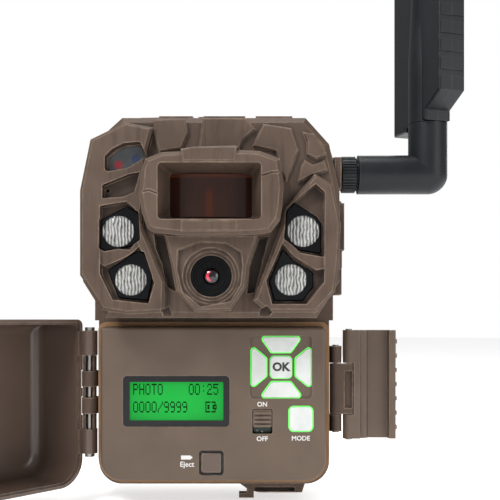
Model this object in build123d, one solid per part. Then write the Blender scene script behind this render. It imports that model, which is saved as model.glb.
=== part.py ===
from build123d import *
import os

# Trail camera for game watching, in millimetres.
# The viewer looks along +Y at its front, +X is the viewer's right and +Z is up.
# The origin is the mouth of the threaded mounting insert in the middle of the back.
# The split between the upper housing and the lower control panel is at Z = 0.
# The control door and its latch are modelled open, the antenna stands up.

# ---------------------------------------------------------------- driving sizes

BODY_WIDTH = 98.0          # across the upper housing
UPPER_HEIGHT = 76.4        # from the split up to the top of the housing
LOWER_HEIGHT = 68.2        # from the split down to the bottom of the rear shell
WALL = 2.4                 # moulded wall of the shells
PANEL_WALL = 2.0
REAR_DEPTH = 38.0          # back rest plane to the seam between the shells
PANEL_DEPTH = 10.0         # seam to the face of the control panel
UPPER_DEPTH = 27.5         # seam to the plain front face of the upper housing
FRAME_RISE = 4.5           # light frames, above the plain front face
HOOD_RISE = 13.5           # window hood, above the plain front face
SHIELD_RISE = 8.0          # lens shield, above the plain front face
LOWER_SIDE_STEP = 1.6      # the lower rear shell is this much narrower on each side

CLEAR = 0.3                # between pieces that move past each other
SLIDE_CLEAR = 0.25         # around keys and the switch knob
FIT_CLEAR = 0.1            # around pieces that sit in a pocket
RUN_CLEAR = 0.05           # a pin in its bore, on the radius

DOOR_WALL = 2.0
DOOR_DEPTH = 29.0
DOOR_OPEN_ANGLE = 129.0
GASKET_HEIGHT = 2.6
GASKET_WIDTH = 1.85
PANEL_SIDE_GAP = 0.7       # door's inner wall to the panel's side wall
PANEL_CORNER = 8.5
HINGE_PIN_RADIUS = 1.2
KNUCKLE_RADIUS = 3.2

HINGE_LUGS = [(-28.0, -21.6), (-39.0, -32.4)]        # heights of the body's lugs
DOOR_KNUCKLES = [(-15.2, -5.2), (-55.2, -45.2)]

LATCH_LUGS = [(-18.6, -11.6), (-47.0, -40.0)]
LINK_SPAN = (-39.7, -18.9)
LEVER_SPAN = (-50.0, -5.0)
LATCH_PIN_RADIUS = 0.8
LATCH_KNUCKLE = 2.5
LATCH_LINK_LENGTH = 5.5
LATCH_LEVER_LENGTH = 19.3

LED_LENS_RADIUS = 6.0
LENS_RING_RADIUS = 7.7
LENS_X = 0.2
LENS_Z = 15.7

KEY_TRAVEL = 0.8

CELL_RADIUS = 7.1
CELL_LENGTH = 50.5
CELL_COLUMNS = 4
CELL_PITCH_X = 14.8
CELL_PITCH_Y = 14.5

ANTENNA_RADIUS = 7.8
ANTENNA_REACH = 37.6       # side of the housing to the upright's axis
ANTENNA_HEIGHT = 57.8      # collar axis above the split
BLADE_WIDTH = 37.0
BLADE_THICK = 11.4
BLADE_TOP = 218.0
BLADE_TURN = 18.0          # how far the blade is turned about its upright

INSERT_THREAD_RADIUS = 3.175   # 1/4 inch tripod thread
INSERT_LENGTH = 9.0
INSERT_RADIUS = 4.8

# ---------------------------------------------------------------- worked-out places

half = BODY_WIDTH / 2
lower_half = half - LOWER_SIDE_STEP
seam_y = -REAR_DEPTH
panel_y = seam_y - PANEL_DEPTH
face_y = seam_y - UPPER_DEPTH
frame_y = face_y - FRAME_RISE
hood_y = face_y - HOOD_RISE
shield_y = face_y - SHIELD_RISE
rear_wall_y = -2.4                     # outside of the rear wall, behind the rest rails
rear_inner_y = rear_wall_y - PANEL_WALL

panel_half = lower_half - 2.2
panel_top = -3.6
panel_bottom = -LOWER_HEIGHT + 3.0
gasket_front_y = seam_y - GASKET_HEIGHT
door_rim_y = gasket_front_y - 0.4
door_front_y = door_rim_y - DOOR_DEPTH
door_half = panel_half + PANEL_SIDE_GAP + DOOR_WALL
door_top = -0.6
door_bottom = panel_bottom - PANEL_SIDE_GAP - DOOR_WALL
hinge_x = -lower_half - KNUCKLE_RADIUS - 0.2
hinge_y = door_rim_y + 1.0

latch_x = lower_half + LATCH_KNUCKLE + 0.5
latch_y = seam_y + 4.0
lever_x = latch_x + LATCH_LINK_LENGTH

antenna_y = seam_y - 6.5
antenna_x = half + ANTENNA_REACH


# ---------------------------------------------------------------- helpers

def front_plane(y):
    """A drawing plane facing the viewer at depth y; its axes are X and Z."""
    return Plane(origin=(0, y, 0), x_dir=(1, 0, 0), z_dir=(0, -1, 0))


def toward_viewer(sketch, back, front):
    """Extrude an X-Z drawing from depth back to the nearer depth front."""
    return extrude(front_plane(back) * sketch, back - front)


def upward(sketch, low, high):
    """Extrude an X-Y drawing from height low to high."""
    return extrude(Plane.XY.offset(low) * sketch, high - low)


def block(x0, x1, y0, y1, z0, z1):
    """A box between two corners."""
    size = Box(abs(x1 - x0), abs(y1 - y0), abs(z1 - z0))
    return Pos((x0 + x1) / 2, (y0 + y1) / 2, (z0 + z1) / 2) * size


def rectangle(x0, x1, z0, z1, radius=0.0):
    """A drawing of a rectangle between two corners, with rounded corners."""
    place = Pos((x0 + x1) / 2, (z0 + z1) / 2)
    if radius > 0:
        return place * RectangleRounded(abs(x1 - x0), abs(z1 - z0), radius)
    return place * Rectangle(abs(x1 - x0), abs(z1 - z0))


def outline(points, radius=0.0):
    """A drawing of a closed polygon, with every corner rounded if asked."""
    shape = make_face(Polyline(*points, close=True))
    if radius > 0:
        shape = fillet(shape.vertices(), radius)
    return shape


def disc_y(x, z, radius, back, front):
    """A cylinder along Y."""
    return toward_viewer(Pos(x, z) * Circle(radius), back, front)


def rod_z(x, y, radius, low, high):
    """A cylinder along Z."""
    return upward(Pos(x, y) * Circle(radius), low, high)


def rod_x(y, z, radius, left, right):
    """A cylinder along X."""
    plane = Plane(origin=(left, y, z), x_dir=(0, 1, 0), z_dir=(1, 0, 0))
    return extrude(plane * Circle(radius), right - left)


def from_side(side, points):
    """Turn (distance in from the housing's side, height) into X-Z points."""
    return [(side * (half - inset), z) for inset, z in points]


def swing(shape, x, y, angle):
    """Turn a shape about an upright axis."""
    return Pos(x, y, 0) * Rot(0, 0, angle) * Pos(-x, -y, 0) * shape


parts = {}

# ---------------------------------------------------------------- body outlines

LOWER_CORNER = 9.5
TOP_CORNER = 13.0


def body_outline(grow=0.0):
    """The rear shell seen from the front, grown or shrunk all round."""
    upper = rectangle(-half, half, -1.0, UPPER_HEIGHT, TOP_CORNER)
    upper += rectangle(-half, half, -1.0, UPPER_HEIGHT / 2)
    lower = rectangle(-lower_half, lower_half, -LOWER_HEIGHT, UPPER_HEIGHT / 2, LOWER_CORNER)
    whole = upper + lower
    return offset(whole, grow, kind=Kind.INTERSECTION) if grow else whole


def housing_outline(grow=0.0):
    """The upper housing seen from the front, with its cut-off lower corners."""
    corner_in, corner_up, top_in, top_down = 8.8, 14.0, 4.0, 10.0
    shape = outline([(-half, corner_up), (-half, UPPER_HEIGHT - 28),
                     (-half + top_in, UPPER_HEIGHT - top_down),
                     (-half + 15, UPPER_HEIGHT), (half - 13, UPPER_HEIGHT),
                     (half - top_in, UPPER_HEIGHT - top_down),
                     (half, UPPER_HEIGHT - 28), (half, corner_up), (half - corner_in, 0),
                     (-half + corner_in, 0)])
    return offset(shape, grow, kind=Kind.INTERSECTION) if grow else shape


def panel_outline(grow=0.0):
    """The control panel seen from the front, with round lower corners."""
    shape = rectangle(-panel_half, panel_half, panel_bottom, panel_top)
    low = shape.vertices().sort_by(Axis.Y)[:2]
    shape = fillet(low, PANEL_CORNER)
    high = shape.vertices().sort_by(Axis.Y)[-2:]
    shape = fillet(high, 1.5)
    return offset(shape, grow) if grow else shape


# ---------------------------------------------------------------- battery tray sizes

tray_back_y = rear_inner_y - CLEAR
tray_front_y = tray_back_y - 2 * CELL_RADIUS - CELL_PITCH_Y - 0.8
tray_half = (CELL_COLUMNS * CELL_PITCH_X) / 2 + 1.4
TRAY_END = 1.2
CAP_HALF = lower_half - LOWER_CORNER + 0.1
CAP_THICK = WALL
cell_low = -LOWER_HEIGHT + CAP_THICK + 3.4
cell_high = cell_low + CELL_LENGTH
tray_roof = cell_high + 2.7
cell_row_y = [tray_back_y - 0.4 - CELL_RADIUS, tray_back_y - 0.4 - CELL_RADIUS - CELL_PITCH_Y]
cell_column_x = [(column - (CELL_COLUMNS - 1) / 2) * CELL_PITCH_X for column in range(CELL_COLUMNS)]
bay_wall = 2.0

# ---------------------------------------------------------------- strap passage

STRAP_LOW = 14.0
STRAP_HIGH = 42.0
STRAP_DEPTH = 5.0
RAIL_IN, RAIL_OUT = 36.0, 42.0
RAIL_BAR = 3.4             # bar that the strap passes under
strap_floor_y = -RAIL_BAR - STRAP_DEPTH

SCREW_PLACES = [(x, z) for x in (-half + 9.5, half - 9.5) for z in (UPPER_HEIGHT - 12, 52.0 - 4)]
SCREW_PLACES += [(x, -LOWER_HEIGHT + 16) for x in (-lower_half + 6.5, lower_half - 6.5)]
SCREW_RADIUS = 1.5
SCREW_HEAD = 2.6


def make_rear_shell():
    shell = toward_viewer(body_outline(), rear_wall_y, seam_y)
    shell = chamfer(shell.faces().sort_by(Axis.Y)[-1].outer_wire().edges(), 1.6)
    cavity = toward_viewer(body_outline(-WALL), rear_inner_y, seam_y)
    shell -= cavity
    # flange that carries the control panel and the door gasket
    ring = body_outline(-WALL + 0.2) & rectangle(-half, half, -LOWER_HEIGHT, 0)
    ring -= panel_outline(-PANEL_WALL)
    shell += toward_viewer(ring, seam_y + WALL, seam_y)
    # ledge that closes the corners where the upper housing is cut off
    ledge = body_outline(-WALL + 0.2) - housing_outline(-WALL)
    ledge &= rectangle(-half, half, -0.5, UPPER_HEIGHT)
    shell += toward_viewer(ledge, seam_y + WALL, seam_y)
    # walls and roof of the battery bay
    bay_front = tray_front_y - CLEAR
    inner = tray_half + CLEAR
    floor_z = -LOWER_HEIGHT + 1
    bay = block(-inner - bay_wall, inner + bay_wall, rear_wall_y, bay_front, floor_z, tray_roof + TRAY_END
                + CLEAR + bay_wall)
    bay -= block(-inner, inner, rear_inner_y, bay_front - 1, floor_z - 1, tray_roof + TRAY_END + CLEAR)
    shell += bay
    # opening in the bottom for the tray and its cap
    shell -= block(-CAP_HALF - CLEAR, CAP_HALF + CLEAR, rear_inner_y, tray_front_y - CLEAR,
                   -LOWER_HEIGHT - 1, -LOWER_HEIGHT + CAP_THICK + CLEAR)
    shell -= block(-inner, inner, rear_inner_y, tray_front_y - CLEAR, -LOWER_HEIGHT - 1, -LOWER_HEIGHT
                   + 8)
    # rest rails and the passage that the strap runs through
    for side in (-1, 1):
        shell += block(side * RAIL_IN, side * RAIL_OUT, rear_wall_y - 1, 0, -LOWER_HEIGHT + 12,
                       UPPER_HEIGHT - 14)
    trough = block(-half + 0.5, half - 0.5, rear_wall_y - 1, strap_floor_y - WALL, STRAP_LOW - WALL,
                   STRAP_HIGH + WALL)
    shell += trough & toward_viewer(body_outline(-0.4), 0, seam_y)
    passage = block(-half - 1, half + 1, 1, strap_floor_y, STRAP_LOW, STRAP_HIGH)
    for side in (-1, 1):
        passage -= block(side * RAIL_IN, side * RAIL_OUT, 0, -RAIL_BAR, STRAP_LOW, STRAP_HIGH)
    shell -= passage
    # pad and boss of the mounting thread
    shell += block(-14, 14, rear_wall_y - 1, 0, -8, 10)
    shell += disc_y(0, 0, INSERT_RADIUS + 2.2, rear_wall_y, -INSERT_LENGTH - 1.5)
    shell -= disc_y(0, 0, INSERT_RADIUS, 1, -INSERT_LENGTH)
    # posts for the case screws
    for x, z in SCREW_PLACES:
        shell += disc_y(x, z, SCREW_HEAD + 1.4, rear_wall_y, seam_y)
        shell -= disc_y(x, z, SCREW_RADIUS + 0.2, 1, seam_y - 1)
        shell -= disc_y(x, z, SCREW_HEAD + 0.2, 1, rear_wall_y - 6)
    # hinge lugs on the left, latch lugs on the right
    for low, high in HINGE_LUGS:
        lug = rod_z(hinge_x, hinge_y, KNUCKLE_RADIUS, low, high)
        lug += block(hinge_x, -lower_half + WALL / 2, hinge_y, seam_y + 4, low, high) - block(
            -lower_half - 0.2, -lower_half + WALL, seam_y, hinge_y - 1, low - 1, high + 1)
        lug -= rod_z(hinge_x, hinge_y, HINGE_PIN_RADIUS + RUN_CLEAR, low - 1, high + 1)
        shell += lug
    for low, high in LATCH_LUGS:
        lug = rod_z(latch_x, latch_y, LATCH_KNUCKLE, low, high)
        lug += block(lower_half - WALL / 2, latch_x, latch_y, latch_y + LATCH_KNUCKLE, low, high)
        lug -= rod_z(latch_x, latch_y, LATCH_PIN_RADIUS + RUN_CLEAR, low - 1, high + 1)
        shell += lug
    return shell



# ---------------------------------------------------------------- upper housing drawings

LED_INSET_UPPER, LED_Z_UPPER = 14.0, 32.8
LED_INSET_LOWER, LED_Z_LOWER = 18.7, 14.4
led_places = {
    "left_upper": (-half + LED_INSET_UPPER, LED_Z_UPPER), "right_upper": (half - LED_INSET_UPPER,
        LED_Z_UPPER),
    "left_lower": (-half + LED_INSET_LOWER, LED_Z_LOWER), "right_lower": (half - LED_INSET_LOWER,
        LED_Z_LOWER),
}

# corners of each bezel, from the centre of its lens
BEZEL_CORNERS = {
    "left_upper": [(3.5, 9.6), (7.9, 6.9), (8.6, -3.6), (4.5, -5.9), (-4.9, -7.7), (-6.8, -6.6),
                   (-6.7, 4.3)],
    "left_lower": [(2.4, 11.0), (5.4, 10.3), (8.5, 1.0), (6.6, -7.9), (-4.7, -6.9), (-8.8, 3.6)],
    "right_upper": [(-3.4, 10.9), (5.2, 5.4), (6.8, 2.8), (6.6, -8.6), (-1.8, -7.2), (-7.4, -3.0),
                    (-6.4, 7.6)],
    "right_lower": [(-3.2, 12.0), (1.0, 7.3), (8.5, 2.8), (8.5, -2.8), (4.4, -8.0), (-6.5, -8.0),
                    (-8.4, -0.5)],
}


def bezel_outline(name, grow=0.0):
    """One black surround of a light, as a polygon about its lens."""
    x, z = led_places[name]
    shape = outline([(x + dx, z + dz) for dx, dz in BEZEL_CORNERS[name]], 0.7)
    return offset(shape, grow) if grow else shape


def frame_outline(side):
    """The raised frame around the two lights on one side."""
    if side < 0:
        return outline(from_side(side, [(3.9, UPPER_HEIGHT - 9.4), (0, UPPER_HEIGHT - 28.5), (0, 16.1),
                                        (8.4, 3.0), (17.7, 1.5),
                                        (31.6, 2.2), (32.0, 13.5), (23.0, 35.2), (24.4, 50.0),
                                        (24.8, 62.0), (27.5, 71.5), (17.0, UPPER_HEIGHT - 3.0)]))
    return outline(from_side(side, [(9.9, 54.1), (3.1, 50.2), (0, 35.2), (0.9, 20.6), (2.4, 9.7),
                                    (9.1, 2.2),
                                    (27.5, 2.2), (32.9, 6.7), (22.2, 35.2), (20.6, 41.5)]))


def frame_opening(side):
    """The hollow inside one raised frame, where the lights sit."""
    if side < 0:
        return outline(from_side(side, [(7.6, 42.0), (7.6, 16.5), (12.4, 6.8), (25.8, 5.4), (28.0, 13.2),
                                        (21.6, 28.5),
                                        (20.6, 41.0), (17.5, 43.6)]))
    return outline(from_side(side, [(9.7, 50.2), (6.2, 47.2), (6.4, 13.4), (12.8, 5.2), (25.9, 5.2),
                                    (28.2, 14.0),
                                    (21.4, 29.5), (20.6, 41.0)]))


def strap_outline(side):
    """The bark strap that crosses a frame between its two lights."""
    if side < 0:
        return outline(from_side(side, [(7.0, 26.6), (18.6, 25.6), (21.4, 29.4), (22.8, 27.4),
                                        (18.4, 23.4), (9.2, 19.4), (7.2, 20.6)]))
    return outline(from_side(side, [(21.6, 30.6), (15.2, 24.4), (6.0, 22.8), (6.0, 18.6), (9.4, 18.0),
                                    (17.8, 23.2), (22.0, 28.0)]))


STATUS_CORNERS = [(10.2, 20.8), (10.2, 16.1), (12.9, 13.5), (17.0, 11.6), (22.2, 11.2), (24.1, 15.5),
                  (19.2, 18.7), (17.7, 19.5)]


def status_outline(grow=0.0):
    """The small window over the indicator lights: inset from the left side, drop from the top."""
    shape = outline([(-half + inset, UPPER_HEIGHT - drop) for inset, drop in STATUS_CORNERS], 0.5)
    return offset(shape, grow) if grow else shape


WINDOW_HALF = 18.9          # opening of the hood
WINDOW_LOW, WINDOW_HIGH = 36.0, 56.6
HOOD_THROAT = 3.2           # the hood narrows this much on each side


def hood_outline():
    """The angular hood around the motion window."""
    right = [(10.0, 30.2), (18.6, 30.6), (22.4, 31.4), (25.8, 36.0), (26.6, 41.0), (27.2, 48.7),
             (25.7, 58.2), (18.4, 61.0),
             (9.8, 61.4), (9.6, 63.1)]
    left = [(-5.6, 62.6), (-10.2, 61.9), (-10.4, 60.9), (-17.4, 60.6), (-23.4, 58.2), (-24.9, 54.2),
            (-25.7, 45.1),
            (-24.8, 38.9), (-22.7, 32.7), (-20.8, 31.4), (-10.3, 30.2)]
    return outline(right + left)


def throat_outline(shrink=0.0):
    """The rectangle of the window opening, narrowed on every side."""
    return rectangle(-WINDOW_HALF + shrink, WINDOW_HALF - shrink, WINDOW_LOW + shrink * 0.6,
                     WINDOW_HIGH - shrink * 0.6, 1.4)


def shield_outline():
    """The angular shield around the camera lens, relative to the lens."""
    points = [(-17.3, 15.5), (17.7, 15.5), (14.2, 4.2), (13.1, -4.4), (7.4, -13.0), (-6.0, -13.4),
              (-12.7, -5.7), (-14.6, 3.8)]
    return outline([(LENS_X + dx, LENS_Z + dz) for dx, dz in points])


def shield_recess():
    """The angular dish cut into the shield."""
    points = [(-12.2, 9.4), (-4.0, 12.6), (5.8, 12.0), (11.2, 8.8), (12.0, 4.0), (11.2, -3.2),
              (7.4, -9.6), (-3.6, -11.6),
              (-10.4, -6.0), (-12.4, 2.0)]
    return outline([(LENS_X + dx, LENS_Z + dz) for dx, dz in points])


# bark plates across the top of the face and round its right corner, as X and the drop from the top
FACE_PLATES = [
    [(-21.6, 1.4), (-9.6, 1.0), (-8.4, 6.0), (-11.2, 12.4), (-19.4, 13.6), (-22.0, 6.4)],
    [(-3.2, 0.8), (13.4, 0.8), (16.8, 5.0), (11.8, 9.4), (10.6, 12.6), (-4.6, 12.8)],
    [(19.8, 3.0), (30.4, 4.6), (33.2, 12.8), (28.6, 24.6), (26.4, 20.8), (24.6, 13.4), (15.8, 11.4),
     (17.6, 7.6)],
    [(34.8, 6.0), (39.2, 6.8), (42.4, 11.4), (43.8, 14.0), (40.0, 16.4), (36.2, 14.6), (36.4, 9.6)],
    [(35.4, 16.6), (38.6, 18.4), (43.0, 16.8), (44.2, 20.4), (42.4, 21.2), (38.4, 22.4), (32.8, 25.2),
     (33.9, 19.4)],
]
PLATE_RISE = 1.8

# sunken places between the plates, as X and Z: the microphone's plate and the notches over the seam
MIC_PLATE = [(-40.5, 49.8), (-30.6, 53.8), (-26.4, 54.6), (-28.5, 47.2), (-32.4, 45.4), (-40.5, 44.8)]
SEAM_NOTCHES = [
    [(-18.6, 3.2), (-16.0, 4.6), (-14.8, 1.0), (-15.2, -1.0), (-18.2, -1.0)],
    [(18.6, 3.4), (21.2, 4.8), (23.2, 2.2), (21.0, -1.0), (18.0, -1.0)],
]
SLOT_DEPTH = 4.0            # gaps between the lens shield and the frames
SHIELD_SLOTS = [
    [(-21.6, 31.6), (-17.6, 31.0), (-15.4, 22.1), (-13.4, 9.8), (-16.7, 12.0), (-18.4, 20.2),
     (-21.0, 26.6)],
    [(18.2, 30.6), (21.9, 30.7), (19.4, 21.3), (16.7, 9.7), (13.7, 9.2), (14.7, 19.9)],
]


def face_plates():
    """The bark plates of the face as drawings."""
    return [outline([(x, UPPER_HEIGHT - drop) for x, drop in points]) for points in FACE_PLATES]


lens_hole_radius = LENS_RING_RADIUS + FIT_CLEAR
SMA_RADIUS = 3.1
CONNECTOR_FLANGE = 4.5
ANTENNA_BOSS = 1.0         # the boss round the connector, proud of the side
antenna_hole_radius = SMA_RADIUS + FIT_CLEAR


def make_front_shell():
    shell = toward_viewer(housing_outline(), seam_y, face_y)
    shell = chamfer(shell.faces().sort_by(Axis.Y)[0].outer_wire().edges(), 2.2)
    for side in (-1, 1):
        frame = toward_viewer(frame_outline(side), face_y + 2.2, frame_y)
        frame = chamfer(frame.faces().sort_by(Axis.Y)[0].outer_wire().edges(), 1.1)
        frame -= toward_viewer(frame_opening(side), face_y, frame_y - 1)
        shell += frame
        shell += toward_viewer(strap_outline(side), face_y + 1, frame_y + 1.2)
    for plate in face_plates():
        slab = toward_viewer(plate, face_y + 1, face_y - PLATE_RISE)
        shell += chamfer(slab.faces().sort_by(Axis.Y)[0].outer_wire().edges(), 0.5)
    # shell roof plates and side plates, which stand a little proud of the walls
    for x0, x1, y0, y1 in ROOF_PLATES:
        shell += block(x0, x1, face_y + y0, face_y + y1, UPPER_HEIGHT - 1, UPPER_HEIGHT + 0.8)
    for side, y0, y1, z0, z1, proud in SIDE_PLATES:
        shell += block(side * (half - 1.5), side * (half + proud), face_y + y0, face_y + y1, z0, z1)
    shell += rod_x(antenna_y, ANTENNA_HEIGHT, CONNECTOR_FLANGE + 2.5, half - 6, half + ANTENNA_BOSS) & (
        block(0, half + 5, seam_y, face_y, 0, UPPER_HEIGHT))
    # hollow inside, with a thicker floor behind the gaps beside the lens shield
    hollow = toward_viewer(housing_outline(-WALL), seam_y, face_y + WALL)
    for slot in SHIELD_SLOTS:
        hollow -= toward_viewer(offset(outline(slot), 1.4), face_y + SLOT_DEPTH + 1.6, face_y)
    shell -= hollow
    # windows through the face
    for name in led_places:
        shell -= toward_viewer(bezel_outline(name, FIT_CLEAR), face_y + WALL + 1, frame_y - 1)
    shell -= toward_viewer(status_outline(0.8), face_y + 0.4, frame_y - 1)
    shell -= toward_viewer(status_outline(FIT_CLEAR), face_y + WALL + 1, face_y)
    shell -= toward_viewer(throat_outline(HOOD_THROAT - 1.6), face_y + WALL + 1, face_y - 1)
    shell -= disc_y(LENS_X, LENS_Z, lens_hole_radius, face_y + WALL + 1, face_y - 1)
    shell -= disc_y(-half + 10.0, 48.1, 0.7, face_y + WALL + 1, frame_y - 1)
    # gaps beside the lens shield, the microphone's sunken plate and the notches over the seam
    for slot in SHIELD_SLOTS:
        shell -= toward_viewer(outline(slot), face_y + SLOT_DEPTH, face_y - 0.5)
    shell -= toward_viewer(outline(MIC_PLATE), face_y - 1.0, frame_y - 1)
    for notch in SEAM_NOTCHES:
        shell -= toward_viewer(outline(notch), face_y + 1.6, frame_y - 1)
    # room for the hood, and for the shield below it
    shell -= toward_viewer(hood_outline(), face_y, hood_y)
    shell -= toward_viewer(shield_outline(), face_y, shield_y)
    # seat and hole for the antenna connector
    shell -= rod_x(antenna_y, ANTENNA_HEIGHT, CONNECTOR_FLANGE + FIT_CLEAR, half - WALL - 8, half - WALL)
    shell -= rod_x(antenna_y, ANTENNA_HEIGHT, antenna_hole_radius, half - WALL - 1, half + 3)
    return shell


ROOF_PLATES = [(-20.0, -7.0, 2.6, 15.0), (-3.0, 13.0, 2.6, 18.0), (17.0, 31.0, 2.6, 12.0)]
SIDE_PLATES = [(1, 3.0, 14.0, 26.0, 44.0, 1.9), (1, 6.0, 17.0, 9.0, 23.0, 1.2),
               (-1, 5.0, 16.0, 22.0, 48.0, 1.2),
               (1, 5.0, 13.0, 50.0, 62.0, 1.0)]


def make_window_hood():
    hood = toward_viewer(hood_outline(), face_y, hood_y)
    hood = chamfer(hood.faces().sort_by(Axis.Y)[0].outer_wire().edges(), 1.6)
    # a raised tab above and below the opening, and a crack across each side
    for points in HOOD_TABS:
        tab = toward_viewer(outline(points), hood_y + 3.0, hood_y - HOOD_TAB_RISE)
        hood += chamfer(tab.faces().sort_by(Axis.Y)[0].outer_wire().edges(), 0.35)
    for points in HOOD_CRACKS:
        hood -= toward_viewer(outline(points), hood_y + 0.6, hood_y - 2)
    front = front_plane(hood_y) * throat_outline()
    back = front_plane(face_y) * throat_outline(HOOD_THROAT)
    past = front_plane(hood_y - 2) * throat_outline()
    hood -= loft(Sketch() + [front, back])
    return hood - loft(Sketch() + [past, front])


HOOD_TAB_RISE = 0.7
HOOD_TABS = [
    [(-10.4, 61.4), (-9.6, 57.0), (9.2, 57.0), (10.2, 62.4), (-5.6, 62.2)],
    [(-10.0, 35.6), (-10.3, 31.6), (9.8, 31.6), (10.4, 35.6)],
]
HOOD_CRACKS = [
    [(-26.5, 45.2), (-22.0, 46.2), (-18.0, 44.6), (-18.0, 45.2), (-22.0, 46.9), (-26.5, 45.9)],
    [(18.0, 51.2), (22.4, 52.6), (27.8, 53.2), (27.8, 53.9), (22.4, 53.3), (18.0, 51.9)],
]


def make_lens_shield():
    shield = toward_viewer(shield_outline(), face_y, shield_y)
    shield = chamfer(shield.faces().sort_by(Axis.Y)[0].outer_wire().edges(), 0.9)
    shield -= toward_viewer(hood_outline(), face_y, hood_y)
    shield -= toward_viewer(shield_recess(), shield_y + 1.8, shield_y - 1)
    steps = [(10.4, 3.2), (9.1, 4.6), (lens_hole_radius, SHIELD_RISE + 1)]
    for radius, depth in steps:
        shield -= disc_y(LENS_X, LENS_Z, radius, shield_y + depth, shield_y - 1)
    return shield


# ---------------------------------------------------------------- lights, lens and windows

lens_front_y = face_y - 3.4
board_y = -45.4            # back of the main board
BOARD_THICK = 1.6


def make_led_lens(name):
    """A clear collimating lens: a flat front disc that narrows to the light behind it."""
    x, z = led_places[name]
    front = disc_y(x, z, LED_LENS_RADIUS, face_y - 0.2, face_y - 1.8)
    wide = front_plane(face_y - 0.2) * Pos(x, z) * Circle(LED_LENS_RADIUS)
    narrow = front_plane(face_y + 6.0) * Pos(x, z) * Circle(2.6)
    return front + loft(Sketch() + [wide, narrow])


def make_led_bezel(name):
    x, z = led_places[name]
    bezel = toward_viewer(bezel_outline(name), face_y + WALL, face_y - 1.6)
    bezel = chamfer(bezel.faces().sort_by(Axis.Y)[0].outer_wire().edges(), 0.5)
    return bezel - disc_y(x, z, LED_LENS_RADIUS + 0.05, face_y + WALL + 1, face_y - 3)


for name in led_places:
    parts["led_lens_" + name] = make_led_lens(name)
    parts["led_bezel_" + name] = make_led_bezel(name)

led_board_y = face_y + 8.6
parts["led_boards"] = Compound(children=[
    block(side * (half - 27.0), side * (half - 7.0), led_board_y, led_board_y - BOARD_THICK, 9.0,
          41.0) for side in (-1, 1)])
parts["led_chips"] = Compound(children=[
    Pos(x, 0, z) * block(-1.7, 1.7, led_board_y - BOARD_THICK, led_board_y - BOARD_THICK - 0.8, -1.7, 1.7)
    for x, z in led_places.values()])


def make_pir_window():
    """The amber motion window: three upright facets, wider at the back."""
    wide = WINDOW_HALF - HOOD_THROAT - 0.2
    rim = wide + 1.7
    points = [(-rim, face_y + WALL), (-rim, face_y + 0.2), (-wide, face_y + 0.2), (-6.5, face_y - 1.8),
              (6.0, face_y - 1.8),
              (wide, face_y + 0.2), (rim, face_y + 0.2), (rim, face_y + WALL)]
    low = WINDOW_LOW + HOOD_THROAT * 0.6 + 0.2
    high = WINDOW_HIGH - HOOD_THROAT * 0.6 - 0.2
    inner = [(x * 0.92, y + 1.4) for x, y in points]
    window = upward(outline(points), low, high) - upward(outline(inner), low + 1.2, high - 1.2)
    return window & toward_viewer(throat_outline(HOOD_THROAT - 1.6 + FIT_CLEAR), face_y + WALL, face_y
                                  - 4)



parts["front_shell"] = make_front_shell()
parts["window_hood"] = make_window_hood()
parts["lens_shield"] = make_lens_shield()
parts["pir_window"] = make_pir_window()
parts["status_window"] = toward_viewer(status_outline(), face_y + WALL, face_y + 0.6)

# camera module: holder on the main board, filter slide inside it, threaded barrel and front glass
HOLDER_HALF = 8.0
BARREL_RADIUS = 5.5
holder_front_y = board_y - BOARD_THICK - 9.0
barrel_back_y = holder_front_y + 4.0

holder = block(LENS_X - HOLDER_HALF, LENS_X + HOLDER_HALF, board_y - BOARD_THICK, holder_front_y, LENS_Z
               - HOLDER_HALF,
               LENS_Z + HOLDER_HALF)
holder -= disc_y(LENS_X, LENS_Z, BARREL_RADIUS + 0.02, board_y - BOARD_THICK + 1, holder_front_y - 1)
FILTER_LOW_Y, FILTER_THICK = -2.6, 0.8
filter_y = board_y - BOARD_THICK + FILTER_LOW_Y
holder -= block(LENS_X - 3.6 - CLEAR, LENS_X + HOLDER_HALF + 1, filter_y + CLEAR, filter_y - FILTER_THICK
                - CLEAR,
                LENS_Z - 3.6 - CLEAR, LENS_Z + 3.6 + CLEAR)
parts["lens_holder"] = holder
parts["ir_cut_filter"] = block(LENS_X - 3.6, LENS_X + 3.6, filter_y, filter_y - FILTER_THICK, LENS_Z
                               - 3.6, LENS_Z + 3.6)
parts["image_sensor"] = block(LENS_X - 3.2, LENS_X + 3.2, board_y - BOARD_THICK, board_y - BOARD_THICK
                              - 1.0, LENS_Z - 2.6,
                              LENS_Z + 2.6)

LENS_GLASS_RADIUS = 3.2
barrel = disc_y(LENS_X, LENS_Z, BARREL_RADIUS, barrel_back_y, lens_front_y + 3.0)
barrel += disc_y(LENS_X, LENS_Z, LENS_RING_RADIUS, lens_front_y + 3.2, lens_front_y)
barrel -= disc_y(LENS_X, LENS_Z, 3.0, barrel_back_y + 1, lens_front_y - 1)
for radius, depth in [(6.9, 0.5), (6.0, 0.9), (5.0, 1.3), (4.2, 1.7), (LENS_GLASS_RADIUS + 0.05, 3.0)]:
    barrel -= disc_y(LENS_X, LENS_Z, radius, lens_front_y + depth, lens_front_y - 1)
parts["lens_barrel"] = barrel

dome_radius = 5.2
dome = Pos(LENS_X, lens_front_y + 1.4 + dome_radius, LENS_Z) * Sphere(dome_radius)
dome &= disc_y(LENS_X, LENS_Z, LENS_GLASS_RADIUS, lens_front_y + 3.0, lens_front_y)
parts["lens_glass"] = dome

# ---------------------------------------------------------------- electronics behind the upper face

board = block(-half + 9.5, half - 9.5, board_y, board_y - BOARD_THICK, 5.0, UPPER_HEIGHT - 10.0)
parts["main_board"] = board

MODEM = (-36.0, -8.0, 30.0, 58.0)
parts["modem_module"] = block(MODEM[0], MODEM[1], board_y + 2.8, board_y, MODEM[2], MODEM[3])

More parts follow.
